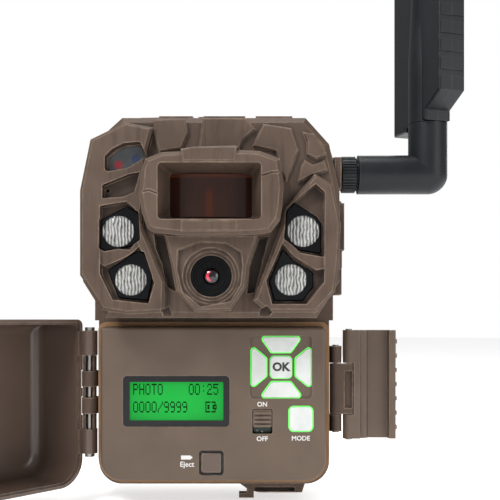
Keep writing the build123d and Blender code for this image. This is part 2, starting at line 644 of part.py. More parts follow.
pir_z = (WINDOW_LOW + WINDOW_HIGH) / 2
pir = disc_y(0, pir_z, 4.6, board_y - BOARD_THICK, board_y - BOARD_THICK - 5.0)
pir += disc_y(0, pir_z, 4.1, board_y - BOARD_THICK, board_y - BOARD_THICK - 8.0)
parts["motion_sensor"] = pir

status_led_places = [(-half + 13.8, UPPER_HEIGHT - 18.2), (-half + 20.4, UPPER_HEIGHT - 16.0)]
status_led_front_y = face_y + WALL + 0.4
parts["status_lights"] = Compound(children=[
    disc_y(x, z, 1.6, status_led_front_y + 4.0, status_led_front_y)
    + block(x - 1.0, x + 1.0, board_y - BOARD_THICK, status_led_front_y + 4.0, z - 0.3, z + 0.3)
    for x, z in status_led_places])

# ---------------------------------------------------------------- seals

SEAL_WIDTH, SEAL_DEPTH = 1.6, 2.0


def make_shell_seal():
    """A cord in the seam, inside the wall of the upper housing."""
    ring = housing_outline(-WALL - 0.2) - housing_outline(-WALL - 0.2 - SEAL_WIDTH)
    ring &= rectangle(-half, half, 3.0, UPPER_HEIGHT)
    return toward_viewer(ring, seam_y, seam_y - SEAL_DEPTH)


def make_door_gasket():
    """The soft ring round the foot of the control panel, which the door's rim closes on."""
    ring = panel_outline(0.15 + GASKET_WIDTH) - panel_outline(0.15)
    return toward_viewer(ring, seam_y, gasket_front_y)


parts["door_gasket"] = make_door_gasket()

# ---------------------------------------------------------------- control panel and its keys

PAD_X, PAD_Z = 27.2, -19.7
PAD_HALF = 12.3
PAD_SINK = 0.6
KEY_RADIUS = 1.6

# every key as the corners of its cap, from the middle of the pad or of the key
KEY_CAPS = {
    "key_up": outline([(PAD_X - 8.3, PAD_Z + 12.2), (PAD_X + 8.4, PAD_Z + 12.2),
                       (PAD_X + 3.9, PAD_Z + 5.9),
                       (PAD_X - 3.9, PAD_Z + 5.9)], 1.0),
    "key_down": outline([(PAD_X - 8.4, PAD_Z - 12.2), (PAD_X + 8.8, PAD_Z - 12.2),
                         (PAD_X + 3.9, PAD_Z - 5.9),
                         (PAD_X - 3.9, PAD_Z - 5.9)], 1.0),
    "key_left": outline([(PAD_X - 11.9, PAD_Z + 8.7), (PAD_X - 11.9, PAD_Z - 8.6),
                         (PAD_X - 5.8, PAD_Z - 3.6),
                         (PAD_X - 5.8, PAD_Z + 3.6)], 1.0),
    "key_right": outline([(PAD_X + 12.1, PAD_Z + 8.7), (PAD_X + 12.1, PAD_Z - 8.6),
                          (PAD_X + 5.8, PAD_Z - 3.6),
                          (PAD_X + 5.8, PAD_Z + 3.6)], 1.0),
    "key_enter": rectangle(PAD_X - 4.3, PAD_X + 4.3, PAD_Z - 4.4, PAD_Z + 4.4, KEY_RADIUS),
    "key_mode": rectangle(30.5, 39.8, -45.2, -35.5, 1.8),
}
KEY_FLANGE = 0.45
KEY_FLANGE_THICK = 0.8
key_front = {name: panel_y + PAD_SINK - 0.5 for name in KEY_CAPS}
key_front["key_mode"] = panel_y - 0.5

LCD = (-36.0, 6.6, -43.5, -23.2)
LCD_VIEW = (-33.4, 4.1, -41.0, -25.6)
EJECT = (-0.7, -58.0, 4.1)             # centre X, centre Z, half width
SWITCH_SLOT = (15.7, 23.8, -46.4, -36.4)
KNOB = (16.05, 23.45, -43.7, -36.7)
panel_inner_y = panel_y + PANEL_WALL


def make_control_panel():
    panel = toward_viewer(panel_outline(), seam_y, panel_y)
    panel = fillet(panel.faces().sort_by(Axis.Y)[0].outer_wire().edges(), 1.4)
    panel -= toward_viewer(panel_outline(-PANEL_WALL), seam_y + 1, panel_inner_y)
    panel -= toward_viewer(rectangle(PAD_X - PAD_HALF, PAD_X + PAD_HALF, PAD_Z - PAD_HALF - 0.2, PAD_Z
                                     + PAD_HALF + 0.2, 1.6),
                           panel_y + PAD_SINK, panel_y - 1)
    for cap in KEY_CAPS.values():
        panel -= toward_viewer(offset(cap, SLIDE_CLEAR), panel_inner_y + 1, panel_y - 1)
    panel -= toward_viewer(rectangle(*LCD, 1.6), panel_y + 1.2, panel_y - 1)
    panel -= toward_viewer(rectangle(LCD[0] + 1, LCD[1] - 1, LCD[2] + 1, LCD[3] - 1), panel_inner_y + 1,
                           panel_y)
    x, z, size = EJECT
    panel -= toward_viewer(rectangle(x - size - 0.9, x + size + 0.9, z - size - 0.9, z + size + 0.9, 1.4),
                           panel_y + 0.5, panel_y - 1)
    panel -= toward_viewer(rectangle(x - size - SLIDE_CLEAR, x + size + SLIDE_CLEAR, z - size
                                     - SLIDE_CLEAR,
                                     z + size + SLIDE_CLEAR, 1.0), panel_inner_y + 1, panel_y)
    panel -= toward_viewer(rectangle(*SWITCH_SLOT, 0.8), panel_inner_y + 1, panel_y - 1)
    return panel


parts["control_panel"] = make_control_panel()

for name, cap in KEY_CAPS.items():
    front = key_front[name]
    key = toward_viewer(cap, panel_inner_y + CLEAR, front)
    key = chamfer(key.faces().sort_by(Axis.Y)[0].outer_wire().edges(), 0.3)
    flange_back = panel_inner_y + CLEAR + KEY_FLANGE_THICK
    parts[name] = key + toward_viewer(offset(cap, KEY_FLANGE), flange_back, panel_inner_y + CLEAR)

membrane_front_y = panel_inner_y + CLEAR + KEY_FLANGE_THICK + KEY_TRAVEL + 0.2
MEMBRANE = 0.8
SWITCH_HIGH = 0.7
control_board_y = membrane_front_y + MEMBRANE + SWITCH_HIGH      # front of the control board
key_centres = [(PAD_X, PAD_Z + 9.2), (PAD_X, PAD_Z - 9.2), (PAD_X - 9.0, PAD_Z), (PAD_X + 9.0, PAD_Z),
               (PAD_X, PAD_Z),
               (35.1, -40.4)]
membrane = rectangle(PAD_X - 13.5, PAD_X + 13.8, PAD_Z - 13.6, PAD_Z + 13.6, 1.5)
membrane += rectangle(29.0, PAD_X + 13.8, -46.8, PAD_Z)
parts["keypad_membrane"] = toward_viewer(membrane, membrane_front_y + MEMBRANE, membrane_front_y)

# the control board carries the key switches, the power switch and the socket of the memory card
CARD_LEFT, CARD_RIGHT, CARD_LENGTH = -34.0, -23.0, 15.0
CARD_THICK = 0.8
CONTROL_BOARD = 1.2
board_low, board_high = panel_bottom + 14.0, panel_top - 3.0
control_back_y = control_board_y + CONTROL_BOARD
socket_low = board_low + 0.5


def make_control_board():
    board = block(-panel_half + 3.0, panel_half - 3.0, control_board_y, control_back_y, board_low,
                  board_high)
    for x, z in key_centres:
        board += disc_y(x, z, 2.2, control_board_y, membrane_front_y + MEMBRANE)
    board += block(KNOB[0] + 0.4, KNOB[1] - 0.4, control_board_y, panel_inner_y + CLEAR + 1.2,
                   SWITCH_SLOT[2] - 0.5,
                   SWITCH_SLOT[3] + 0.5)
    board += block(CARD_LEFT - 1.2, CARD_RIGHT + 1.2, control_back_y, control_back_y + 2.0, socket_low,
                   socket_low + CARD_LENGTH)
    return board - block(CARD_LEFT - FIT_CLEAR, CARD_RIGHT + FIT_CLEAR, control_back_y + 0.5,
                         control_back_y + 0.7 + CARD_THICK,
                         socket_low - 1, socket_low + CARD_LENGTH - 1.0)


parts["control_board"] = make_control_board()
parts["memory_card"] = block(CARD_LEFT, CARD_RIGHT, control_back_y + 0.6, control_back_y + 0.6
                             + CARD_THICK, socket_low - 1.4,
                             socket_low - 1.4 + CARD_LENGTH)

lcd_frame = toward_viewer(rectangle(LCD[0] + FIT_CLEAR, LCD[1] - FIT_CLEAR, LCD[2] + FIT_CLEAR, LCD[3]
                                    - FIT_CLEAR, 1.5),
                          panel_y + 1.2, panel_y + 0.1)
lcd_frame -= toward_viewer(rectangle(*LCD_VIEW, 0.5), panel_y + 2, panel_y - 1)
parts["display_bezel"] = lcd_frame
parts["display_module"] = toward_viewer(rectangle(LCD[0] + 1.3, LCD[1] - 1.3, LCD[2] + 1.3, LCD[3] - 1.3),
                                        control_board_y, panel_y + 1.2)

x, z, size = EJECT
eject = toward_viewer(rectangle(x - size, x + size, z - size, z + size, 1.0), panel_inner_y + CLEAR,
                      panel_y + 0.1)
eject = fillet(eject.faces().sort_by(Axis.Y)[0].outer_wire().edges(), 0.6)
eject += toward_viewer(rectangle(x - size - 0.8, x + size + 0.8, z - size - 0.3, z + size + 0.8),
                       panel_inner_y + CLEAR + 1.0,
                       panel_inner_y + CLEAR)
parts["eject_button"] = eject

knob = toward_viewer(rectangle(*KNOB, 0.6), panel_inner_y + CLEAR, panel_y + 0.3)
for rib in range(4):
    rib_z = KNOB[3] - 1.0 - rib * 1.7
    knob += block(KNOB[0] + 0.5, KNOB[1] - 0.5, panel_y + 0.3, panel_y - 0.4, rib_z, rib_z - 0.8)
knob += toward_viewer(rectangle(KNOB[0] - 1.2, KNOB[1] + 1.2, KNOB[2] + 1.0, KNOB[3] - 1.0), panel_inner_y
                      + CLEAR + 0.9,
                      panel_inner_y + CLEAR)
parts["power_knob"] = knob

# ---------------------------------------------------------------- battery tray, drawn in its shut place


def make_battery_tray():
    floor = -LOWER_HEIGHT
    tray = block(-CAP_HALF, CAP_HALF, tray_back_y, tray_front_y, floor, floor + CAP_THICK)
    for side in (-1, 1):
        tray += block(side * tray_half, side * (tray_half - TRAY_END), tray_back_y, tray_front_y, floor
                      + 1,
                      tray_roof + TRAY_END)
    tray += block(-tray_half, tray_half, tray_back_y, tray_front_y, tray_roof, tray_roof + TRAY_END)
    # finger lip under the front edge, with its grip groove and its thumb tab
    lip = outline([(9.6, floor), (14.4, floor - 3.4), (18.6, floor - 4.4), (36.4, floor - 4.4),
                   (37.9, floor)])
    lip = toward_viewer(lip, tray_front_y + 6.0, tray_front_y)
    lip -= toward_viewer(rectangle(16.6, 33.4, floor - 3.8, floor - 2.2, 0.6), tray_front_y + 2.5,
                         tray_front_y - 1)
    lip += block(13.4, 16.4, tray_front_y + 4.0, tray_front_y, floor - 6.4, floor - 3.4)
    lip += block(10.2, 16.4, tray_front_y + 4.0, tray_front_y, floor - 6.6, floor - 4.6)
    return tray + lip


parts["battery_tray"] = make_battery_tray()

cells = []
for y in cell_row_y:
    for x in cell_column_x:
        cell = rod_z(x, y, CELL_RADIUS, cell_low, cell_high - 1.2)
        cells.append(cell + rod_z(x, y, 2.7, cell_high - 1.2, cell_high))
parts["batteries"] = Compound(children=cells)

contacts = []
for x in cell_column_x:
    plate = block(x - 5.5, x + 5.5, cell_row_y[0] + 5.5, cell_row_y[1] - 5.5, -LOWER_HEIGHT + CAP_THICK,
                  -LOWER_HEIGHT + CAP_THICK + 0.4)
    for y in cell_row_y:
        spring_height = cell_low - (-LOWER_HEIGHT + CAP_THICK + 0.4)
        coil = Pos(x, y, cell_low - spring_height / 2) * Cone(4.6, 2.8, spring_height)
        plate += coil - Pos(x, y, cell_low - spring_height / 2) * Cone(4.0, 2.2, spring_height)
    contacts.append(plate)
    contacts.append(block(x - 5.5, x + 5.5, cell_row_y[0] + 5.5, cell_row_y[1] - 5.5, cell_high,
                          tray_roof))
parts["battery_contacts"] = Compound(children=contacts)

# ---------------------------------------------------------------- control door, drawn shut, then swung open


def make_door():
    def door_outline(grow=0.0):
        shape = rectangle(-door_half, door_half, door_bottom, door_top)
        low = shape.vertices().sort_by(Axis.Y)[:2]
        shape = fillet(low, PANEL_CORNER + PANEL_SIDE_GAP + DOOR_WALL)
        high = shape.vertices().sort_by(Axis.Y)[-2:]
        shape = fillet(high, 2.6)
        return offset(shape, grow) if grow else shape

    door = toward_viewer(door_outline(), door_rim_y, door_front_y)
    door = fillet(door.faces().sort_by(Axis.Y)[0].outer_wire().edges(), 6.0)
    hollow = toward_viewer(door_outline(-DOOR_WALL), door_rim_y + 1, door_front_y + DOOR_WALL)
    hollow = fillet(hollow.faces().sort_by(Axis.Y)[0].outer_wire().edges(), 4.4)
    door -= hollow
    # a step inside the rim
    door -= toward_viewer(door_outline(-DOOR_WALL * 0.6), door_rim_y + 1, door_rim_y - 1.2)
    # catch rib on the free side, which the lever's lip holds
    rib_y = latch_y - LATCH_LINK_LENGTH - LATCH_LEVER_LENGTH + 3.4
    door += block(door_half - 0.5, door_half + 1.8, rib_y + 2.4, rib_y, LINK_SPAN[0] - 3, LINK_SPAN[1]
                  + 3)
    # room for the body's lugs, then the door's own knuckles
    for low, high in HINGE_LUGS:
        door -= rod_z(hinge_x, hinge_y, KNUCKLE_RADIUS + 0.4, low - 0.4, high + 0.4)
    for low, high in DOOR_KNUCKLES:
        door += rod_z(hinge_x, hinge_y, KNUCKLE_RADIUS, low, high)
        door += block(hinge_x, -door_half + DOOR_WALL, hinge_y - KNUCKLE_RADIUS, door_rim_y, low, high)
        door -= rod_z(hinge_x, hinge_y, HINGE_PIN_RADIUS + RUN_CLEAR, low - 1, high + 1)
    return swing(door, hinge_x, hinge_y, -DOOR_OPEN_ANGLE)


parts["door_shell"] = make_door()

pin_low, pin_high = DOOR_KNUCKLES[1][0], DOOR_KNUCKLES[0][1]
parts["hinge_pin"] = (rod_z(hinge_x, hinge_y, HINGE_PIN_RADIUS, pin_low - 0.8, pin_high + 0.8)
                      + rod_z(hinge_x, hinge_y, 2.0, pin_low - 1.4, pin_low) + rod_z(hinge_x, hinge_y,
                          2.0, pin_high, pin_high + 1.4))

# ---------------------------------------------------------------- draw latch, drawn open


def make_latch_link():
    low, high = LINK_SPAN
    link = rod_z(latch_x, latch_y, LATCH_KNUCKLE, low, high) + rod_z(lever_x, latch_y, LATCH_KNUCKLE, low,
        high)
    link += block(latch_x, lever_x, latch_y - LATCH_KNUCKLE, latch_y + LATCH_KNUCKLE - 0.8, low, high)
    for x in (latch_x, lever_x):
        link -= rod_z(x, latch_y, LATCH_PIN_RADIUS + RUN_CLEAR, low - 1, high + 1)
    return link - block(lever_x - 2.0, lever_x + 1.2, latch_y - LATCH_KNUCKLE - 1, latch_y - LATCH_KNUCKLE
                        + 1.2, low + 2.4,
                        high - 3.0)


def make_latch_lever():
    low, high = LEVER_SPAN
    reach = LATCH_LEVER_LENGTH
    points = [(0.0, 2.5), (4.5, 2.6), (8.0, 3.6), (reach - 2.0, 3.6), (reach, 2.0), (reach, -1.9),
              (reach - 2.7, -1.9),
              (reach - 3.1, 1.2), (8.2, 1.4), (7.4, 0.2), (5.0, -0.4), (4.5, -1.9), (0.0, -2.5)]
    lever = upward(outline([(lever_x + dx, latch_y + dy) for dx, dy in points]), low, high)
    lever += rod_z(lever_x, latch_y, LATCH_KNUCKLE, low, high)
    # grip ridges along the free edge
    ridges = 7
    pitch = (high - low) / (ridges + 0.6)
    for index in range(ridges):
        ridge_z = low + (index + 0.8) * pitch
        lever += rod_z(lever_x + reach - 0.2, latch_y, 1.0, ridge_z - 0.9, ridge_z + 0.9)
    # room for the link between the lever's two knuckles
    link_low, link_high = LINK_SPAN
    lever -= rod_z(lever_x, latch_y, LATCH_KNUCKLE + 0.4, link_low - CLEAR, link_high + CLEAR)
    lever -= block(lever_x - 3, lever_x + 1.2, latch_y - 4, latch_y + 4, link_low - CLEAR, link_high
                   + CLEAR)
    return lever - rod_z(lever_x, latch_y, LATCH_PIN_RADIUS + RUN_CLEAR, low - 1, high + 1)


def make_latch_pin(x, low, high):
    pin = rod_z(x, latch_y, LATCH_PIN_RADIUS, low, high)
    return pin + rod_z(x, latch_y, 1.3, low - 0.5, low) + rod_z(x, latch_y, 1.3, high, high + 0.5)


parts["latch_link"] = make_latch_link()
parts["latch_lever"] = make_latch_lever()
parts["latch_body_pin"] = make_latch_pin(latch_x, LATCH_LUGS[1][0], LATCH_LUGS[0][1])
parts["latch_lever_pin"] = make_latch_pin(lever_x, LEVER_SPAN[0], LEVER_SPAN[1])

# ---------------------------------------------------------------- antenna, standing up

COLLAR_LEFT, COLLAR_RIGHT = half + 2.2, half + 8.6
COLLAR_RADIUS = 7.3
NECK_RADIUS = 5.2
COLLAR_BORE = 6.2
ELBOW_TOP = ANTENNA_HEIGHT + 20.0
SPIGOT_RADIUS = 3.5
sma_end = COLLAR_LEFT + 3.4
connector_back_x = half - WALL - 3.6

sma = rod_x(antenna_y, ANTENNA_HEIGHT, CONNECTOR_FLANGE, half - WALL - 2.4, half - WALL)
sma += rod_x(antenna_y, ANTENNA_HEIGHT, SMA_RADIUS, connector_back_x, sma_end)
parts["antenna_connector"] = sma

collar = rod_x(antenna_y, ANTENNA_HEIGHT, COLLAR_RADIUS, COLLAR_LEFT, COLLAR_RIGHT)
collar -= rod_x(antenna_y, ANTENNA_HEIGHT, SMA_RADIUS + 0.08, COLLAR_LEFT - 1, COLLAR_RIGHT + 1)
collar -= rod_x(antenna_y, ANTENNA_HEIGHT, COLLAR_BORE, sma_end + 0.3, COLLAR_RIGHT + 1)
KNURLS = 36
for index in range(KNURLS):
    angle = 360 / KNURLS * index
    groove = Pos(0, 0, COLLAR_RADIUS) * Box(COLLAR_RIGHT - COLLAR_LEFT + 2, 0.6, 0.7)
    collar -= Pos((COLLAR_LEFT + COLLAR_RIGHT) / 2, antenna_y, ANTENNA_HEIGHT) * Rot(angle, 0, 0) * groove
parts["antenna_collar"] = collar

elbow = rod_x(antenna_y, ANTENNA_HEIGHT, ANTENNA_RADIUS, COLLAR_RIGHT + 0.6, antenna_x)
elbow += Pos(antenna_x, antenna_y, ANTENNA_HEIGHT) * Sphere(ANTENNA_RADIUS)
elbow += rod_z(antenna_x, antenna_y, ANTENNA_RADIUS, ANTENNA_HEIGHT, ELBOW_TOP)
elbow -= rod_z(antenna_x, antenna_y, SPIGOT_RADIUS + 0.06, ELBOW_TOP - 7.6, ELBOW_TOP + 1)
parts["antenna_elbow"] = elbow
# bush on the end of the elbow, which the nut turns on
parts["antenna_bush"] = rod_x(antenna_y, ANTENNA_HEIGHT, NECK_RADIUS, sma_end + 0.6, COLLAR_RIGHT + 0.6)

BLADE_FOOT = ELBOW_TOP - 1.6
blade_bottom = ELBOW_TOP + 0.3
RIB_PITCH = 7.0


def make_blade():
    """The flat paddle with its width along Y, before it is turned and split."""
    wide = BLADE_WIDTH / 2
    stem = ANTENNA_RADIUS
    points = [(-wide, blade_bottom + 9.4), (-stem - 0.3, blade_bottom + 4.0), (-stem - 0.3, blade_bottom),
              (stem + 0.5, blade_bottom),
              (stem + 0.5, BLADE_FOOT), (wide, BLADE_FOOT), (wide, BLADE_TOP), (-wide, BLADE_TOP)]
    side_plane = Plane(origin=(antenna_x, antenna_y, 0), x_dir=(0, 1, 0), z_dir=(1, 0, 0))
    sketch = make_face(Polyline(*points, close=True))
    blade = extrude(side_plane * sketch, BLADE_THICK / 2, both=True)
    upright = [edge for edge in blade.edges().filter_by(Axis.X) if edge.center().Z > BLADE_TOP - 1]
    blade = fillet(upright, 6.0)
    faces = blade.faces().sort_by(Axis.X)
    blade = fillet(faces[0].outer_wire().edges() + faces[-1].outer_wire().edges(), 1.0)
    # grip notches along both edges
    count = int((BLADE_TOP - 20 - blade_bottom - 14) / RIB_PITCH)
    for index in range(count):
        notch_z = blade_bottom + 16 + index * RIB_PITCH
        for side in (-1, 1):
            blade -= Pos(antenna_x, antenna_y + side * wide, notch_z) * Box(BLADE_THICK + 2, 1.0, 2.4)
    # round stem that runs out into the middle of both faces
    low = Plane.XY.offset(blade_bottom) * Pos(antenna_x, antenna_y) * Circle(stem)
    mid = Plane.XY.offset(blade_bottom + 24) * Pos(antenna_x, antenna_y) * Circle(stem)
    high = Plane.XY.offset(blade_bottom + 58) * Pos(antenna_x, antenna_y) * Circle(BLADE_THICK / 2 + 0.6)
    top = Plane.XY.offset(BLADE_TOP - 14) * Pos(antenna_x, antenna_y) * Circle(BLADE_THICK / 2 + 0.2)
    blade += extrude(low, 24)
    blade += loft(Sketch() + [mid, high]) + loft(Sketch() + [high, top])
    blade += rod_z(antenna_x, antenna_y, SPIGOT_RADIUS, ELBOW_TOP - 7.0, blade_bottom)
    # pocket for the radiating strip
    blade -= block(antenna_x - 0.6, antenna_x + 0.6, antenna_y - 6.0, antenna_y + 6.0, blade_bottom + 8,
                   BLADE_TOP - 10)
    return blade


blade = make_blade()
left_side = block(antenna_x - 60, antenna_x, antenna_y - 60, antenna_y + 60, 0, BLADE_TOP + 60)
right_side = block(antenna_x, antenna_x + 60, antenna_y - 60, antenna_y + 60, 0, BLADE_TOP + 60)
parts["antenna_blade_left"] = swing(blade & left_side, antenna_x, antenna_y, BLADE_TURN)
parts["antenna_blade_right"] = swing(blade & right_side, antenna_x, antenna_y, BLADE_TURN)
strip = block(antenna_x - 0.5, antenna_x + 0.5, antenna_y - 5.9, antenna_y + 5.9, blade_bottom + 8.1,
              BLADE_TOP - 10.1)
parts["antenna_strip"] = swing(strip, antenna_x, antenna_y, BLADE_TURN)

# lead from the modem to the connector, along the back of the main board
LEAD_RADIUS = 0.65
lead_y = board_y + 2.8 + 1.2
lead_end_x = connector_back_x
route = [(MODEM[1] - 4, lead_y, 52.0), (1.0, lead_y + 0.3, 53.4), (15.0, lead_y + 0.1, 56.4),
         (lead_end_x - 11, antenna_y, ANTENNA_HEIGHT), (lead_end_x, antenna_y, ANTENNA_HEIGHT)]
path = FilletPolyline(*route, radius=[30.0, 30.0, 12.0])
parts["antenna_lead"] = sweep(Plane(origin=path @ 0, z_dir=path % 0) * Circle(LEAD_RADIUS), path=path)

# ---------------------------------------------------------------- inserts, screws, seal

insert = disc_y(0, 0, INSERT_RADIUS, 0, -INSERT_LENGTH) - disc_y(0, 0, INSERT_THREAD_RADIUS, 1,
    -INSERT_LENGTH - 1)
parts["mount_insert"] = insert

screws = []
for x, z in SCREW_PLACES:
    screw = disc_y(x, z, SCREW_HEAD, rear_wall_y - 4.0, rear_wall_y - 6.0)
    screw += disc_y(x, z, SCREW_RADIUS, rear_wall_y - 6.0, seam_y + 2.0)
    drive = Pos(x, z) * (Rectangle(2.8, 0.7) + Rectangle(0.7, 2.8))
    screws.append(screw - toward_viewer(drive, rear_wall_y - 3.5, rear_wall_y - 5.0))
parts["case_screws"] = Compound(children=screws)

parts["shell_seal"] = make_shell_seal()
parts["rear_shell"] = make_rear_shell()

os.makedirs("parts", exist_ok=True)
for node, shape in parts.items():
    export_step(shape, f"parts/{node}.step")
print(len(parts), "nodes written")
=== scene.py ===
# %% [markdown]
# # A trail camera, dressed for a close look
# The machined shapes of this camera are already fixed in millimetre-exact solids. This lesson
# gives them their finishes, and adds the small things that a solid model leaves out: ribbed
# light lenses, a knurled nut, bark plates, a lit display and printed marks.
# Everything is in metres, and every piece rides on the solid body that it belongs to.

# %% Load the fixed frame
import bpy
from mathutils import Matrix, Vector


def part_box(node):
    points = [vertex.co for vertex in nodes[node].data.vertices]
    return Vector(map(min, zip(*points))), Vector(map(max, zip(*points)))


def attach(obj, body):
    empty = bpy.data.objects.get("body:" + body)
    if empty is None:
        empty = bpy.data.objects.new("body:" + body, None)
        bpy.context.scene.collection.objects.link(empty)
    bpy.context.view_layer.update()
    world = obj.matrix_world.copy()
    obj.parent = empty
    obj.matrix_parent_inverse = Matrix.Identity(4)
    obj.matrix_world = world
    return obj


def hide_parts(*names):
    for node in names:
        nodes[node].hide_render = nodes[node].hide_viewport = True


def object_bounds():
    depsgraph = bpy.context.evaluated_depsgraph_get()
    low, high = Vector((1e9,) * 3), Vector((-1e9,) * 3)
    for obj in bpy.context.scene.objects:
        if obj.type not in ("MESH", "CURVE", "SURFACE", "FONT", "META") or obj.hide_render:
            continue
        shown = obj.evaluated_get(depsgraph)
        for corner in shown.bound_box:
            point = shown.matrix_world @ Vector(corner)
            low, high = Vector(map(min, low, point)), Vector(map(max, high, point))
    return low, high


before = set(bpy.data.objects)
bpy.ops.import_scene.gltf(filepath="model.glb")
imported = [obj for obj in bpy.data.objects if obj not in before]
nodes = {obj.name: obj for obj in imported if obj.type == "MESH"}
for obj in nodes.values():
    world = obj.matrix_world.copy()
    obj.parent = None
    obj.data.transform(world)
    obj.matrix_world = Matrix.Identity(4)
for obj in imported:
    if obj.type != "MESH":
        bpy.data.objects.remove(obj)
cad_box = [list(corner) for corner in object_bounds()]

import math
import bpy
import bmesh
from mathutils import Matrix, Vector

MM = 0.001

# %% [markdown]
# ## The camera and the studio
# The object is looked at from straight in front, with the eye level with the line between the
# housing and the control panel. A tall antenna stands above it, so the view is shifted up a
# little instead of being tilted, which keeps every upright edge upright.

# %% Viewing camera
EYE_DISTANCE, EYE_ACROSS = 0.388, 0.0148
EYE_LENS, EYE_SHIFT = 61.2, 0.136
eye = bpy.data.cameras.new("viewing_camera")
eye.sensor_width = 36.0
eye.lens = EYE_LENS
eye.shift_y = EYE_SHIFT
eye.clip_start = 0.01
eye_object = bpy.data.objects.new("viewing_camera", eye)
eye_object.location = (EYE_ACROSS, -EYE_DISTANCE, 0.0)
eye_object.rotation_euler = (math.radians(90), 0, 0)
bpy.context.scene.collection.objects.link(eye_object)
bpy.context.scene.camera = eye_object
bpy.context.scene.view_settings.view_transform = "Standard"
print("camera", tuple(round(v, 3) for v in eye_object.location), "lens", eye.lens)

# %% [markdown]
# Soft light comes from large area lamps, because a matte moulding shows its facets best when
# the light wraps round it and still has one clear direction. The world is plain white to the
# eye, but it lights the object less strongly, so that deep corners stay dark. The floor is
# matte paper that glows a little, which keeps its edge from showing.

# %% Lamps
def area_lamp(name, place, target, width, height, power):
    """A rectangular lamp at place, aimed at target; sizes in metres, power in watts."""
    data = bpy.data.lights.new(name, "AREA")
    data.shape = "RECTANGLE"
    data.size, data.size_y, data.energy = width, height, power
    lamp = bpy.data.objects.new(name, data)
    lamp.location = place
    aim = Vector(target) - Vector(place)
    lamp.rotation_euler = aim.to_track_quat("-Z", "Y").to_euler()
    bpy.context.scene.collection.objects.link(lamp)
    return lamp


area_lamp("key_lamp", (-0.50, -0.80, 0.85), (0, -0.05, 0.03), 0.40, 0.40, 11.0)
area_lamp("fill_lamp", (0.75, -0.70, 0.20), (0, -0.05, 0.03), 0.5, 0.5, 2.2)
area_lamp("top_lamp", (0.0, -0.05, 1.0), (0, -0.04, 0.0), 0.6, 0.4, 5.0)
area_lamp("back_lamp", (0.45, 0.9, 0.5), (0, 0, 0.0), 0.7, 0.7, 6.0)

print("lamps:", len(bpy.data.lights))

# %% World
SEEN_LIGHT, CAST_LIGHT = 1.0, 0.36
world = bpy.data.worlds.new("studio_white")
world.use_nodes = True
background = world.node_tree.nodes["Background"]
background.inputs["Color"].default_value = (1, 1, 1, 1)
sight = world.node_tree.nodes.new("ShaderNodeLightPath")
brightness = world.node_tree.nodes.new("ShaderNodeMapRange")
brightness.inputs["To Min"].default_value = CAST_LIGHT
brightness.inputs["To Max"].default_value = SEEN_LIGHT
world.node_tree.links.new(sight.outputs["Is Camera Ray"], brightness.inputs["Value"])
world.node_tree.links.new(brightness.outputs["Result"], background.inputs["Strength"])
bpy.context.scene.world = world
print("world:", world.name)


# %% Floor
def mesh_object(name, bm):
    """Turn mesh code into a finished object, in the row's own place."""
    mesh = bpy.data.meshes.new(name)
    bm.to_mesh(mesh)
    bm.free()
    obj = bpy.data.objects.new(name, mesh)
    bpy.context.scene.collection.objects.link(obj)
    return obj


FLOOR_RADIUS = 3.0
floor_level = cad_box[0][2] - 1 * MM
floor_bm = bmesh.new()
bmesh.ops.create_circle(floor_bm, cap_ends=True, segments=96, radius=FLOOR_RADIUS,
                        matrix=Matrix.Translation((0, 0, floor_level)))
floor = mesh_object("floor", floor_bm)
floor_paper = bpy.data.materials.new("pale paper")
floor_paper.use_nodes = True
paper = floor_paper.node_tree.nodes["Principled BSDF"]
paper.inputs["Base Color"].default_value = (0.80, 0.80, 0.80, 1)
paper.inputs["Roughness"].default_value = 0.8
paper.inputs["Emission Color"].default_value = (1, 1, 1, 1)
paper.inputs["Emission Strength"].default_value = 0.60
floor.data.materials.append(floor_paper)
print("floor at", round(floor_level, 4))

# %% [markdown]
# ## Shared effects
# Real moulded plastic is never one flat colour. Four effects return in the finishes, so each is
# a group that is built once: a fine grain from the spark-eroded mould, long bark fibres, pale
# edges that are partly rubbed wear and partly painted highlight, and darker corners that are
# partly dust and partly painted shade. A group only gives masks and heights; the
# shader stays in each material, where its own values can be set.

# %% Group helper
def effect(name, inputs, outputs):
    """A shader node group with named number inputs and outputs."""
    group = bpy.data.node_groups.new(name, "ShaderNodeTree")
    for label, value in inputs.items():
        socket = group.interface.new_socket(label, in_out="INPUT", socket_type="NodeSocketFloat")
        socket.default_value = value
    for label in outputs:
        group.interface.new_socket(label, in_out="OUTPUT", socket_type="NodeSocketFloat")
    return group, group.nodes.new("NodeGroupInput"), group.nodes.new("NodeGroupOutput")


def sum_node(tree, operation, a, b=None, clamp=False):
    """A Math node whose inputs are sockets or plain numbers."""
    node = tree.nodes.new("ShaderNodeMath")
    node.operation = operation
    node.use_clamp = clamp
    for place, value in enumerate((a, b)):
        if value is None:
            continue
        if isinstance(value, (int, float)):
            node.inputs[place].default_value = value
        else:
            tree.links.new(value, node.inputs[place])
    return node.outputs[0]


def spread(tree, value, low, high, to_low=0.0, to_high=1.0):
    """Stretch the part of a value between low and high over a new range."""
    node = tree.nodes.new("ShaderNodeMapRange")
    node.inputs["From Min"].default_value = low
    node.inputs["From Max"].default_value = high
    node.inputs["To Min"].default_value = to_low
    node.inputs["To Max"].default_value = to_high
    tree.links.new(value, node.inputs["Value"])
    return node.outputs["Result"]


def noise(tree, place, scale, detail=3.0, roughness=0.5):
    """A noise texture on object coordinates, as a grey value."""
    node = tree.nodes.new("ShaderNodeTexNoise")
    node.inputs["Detail"].default_value = detail
    node.inputs["Roughness"].default_value = roughness
    if isinstance(scale, (int, float)):
        node.inputs["Scale"].default_value = scale
    else:
        tree.links.new(scale, node.inputs["Scale"])
    tree.links.new(place, node.inputs["Vector"])
    return node.outputs["Fac"]


def object_place(tree):
    """Where a point lies on the object, which stays put when the view changes."""
    return tree.nodes.new("ShaderNodeTexCoord").outputs["Object"]


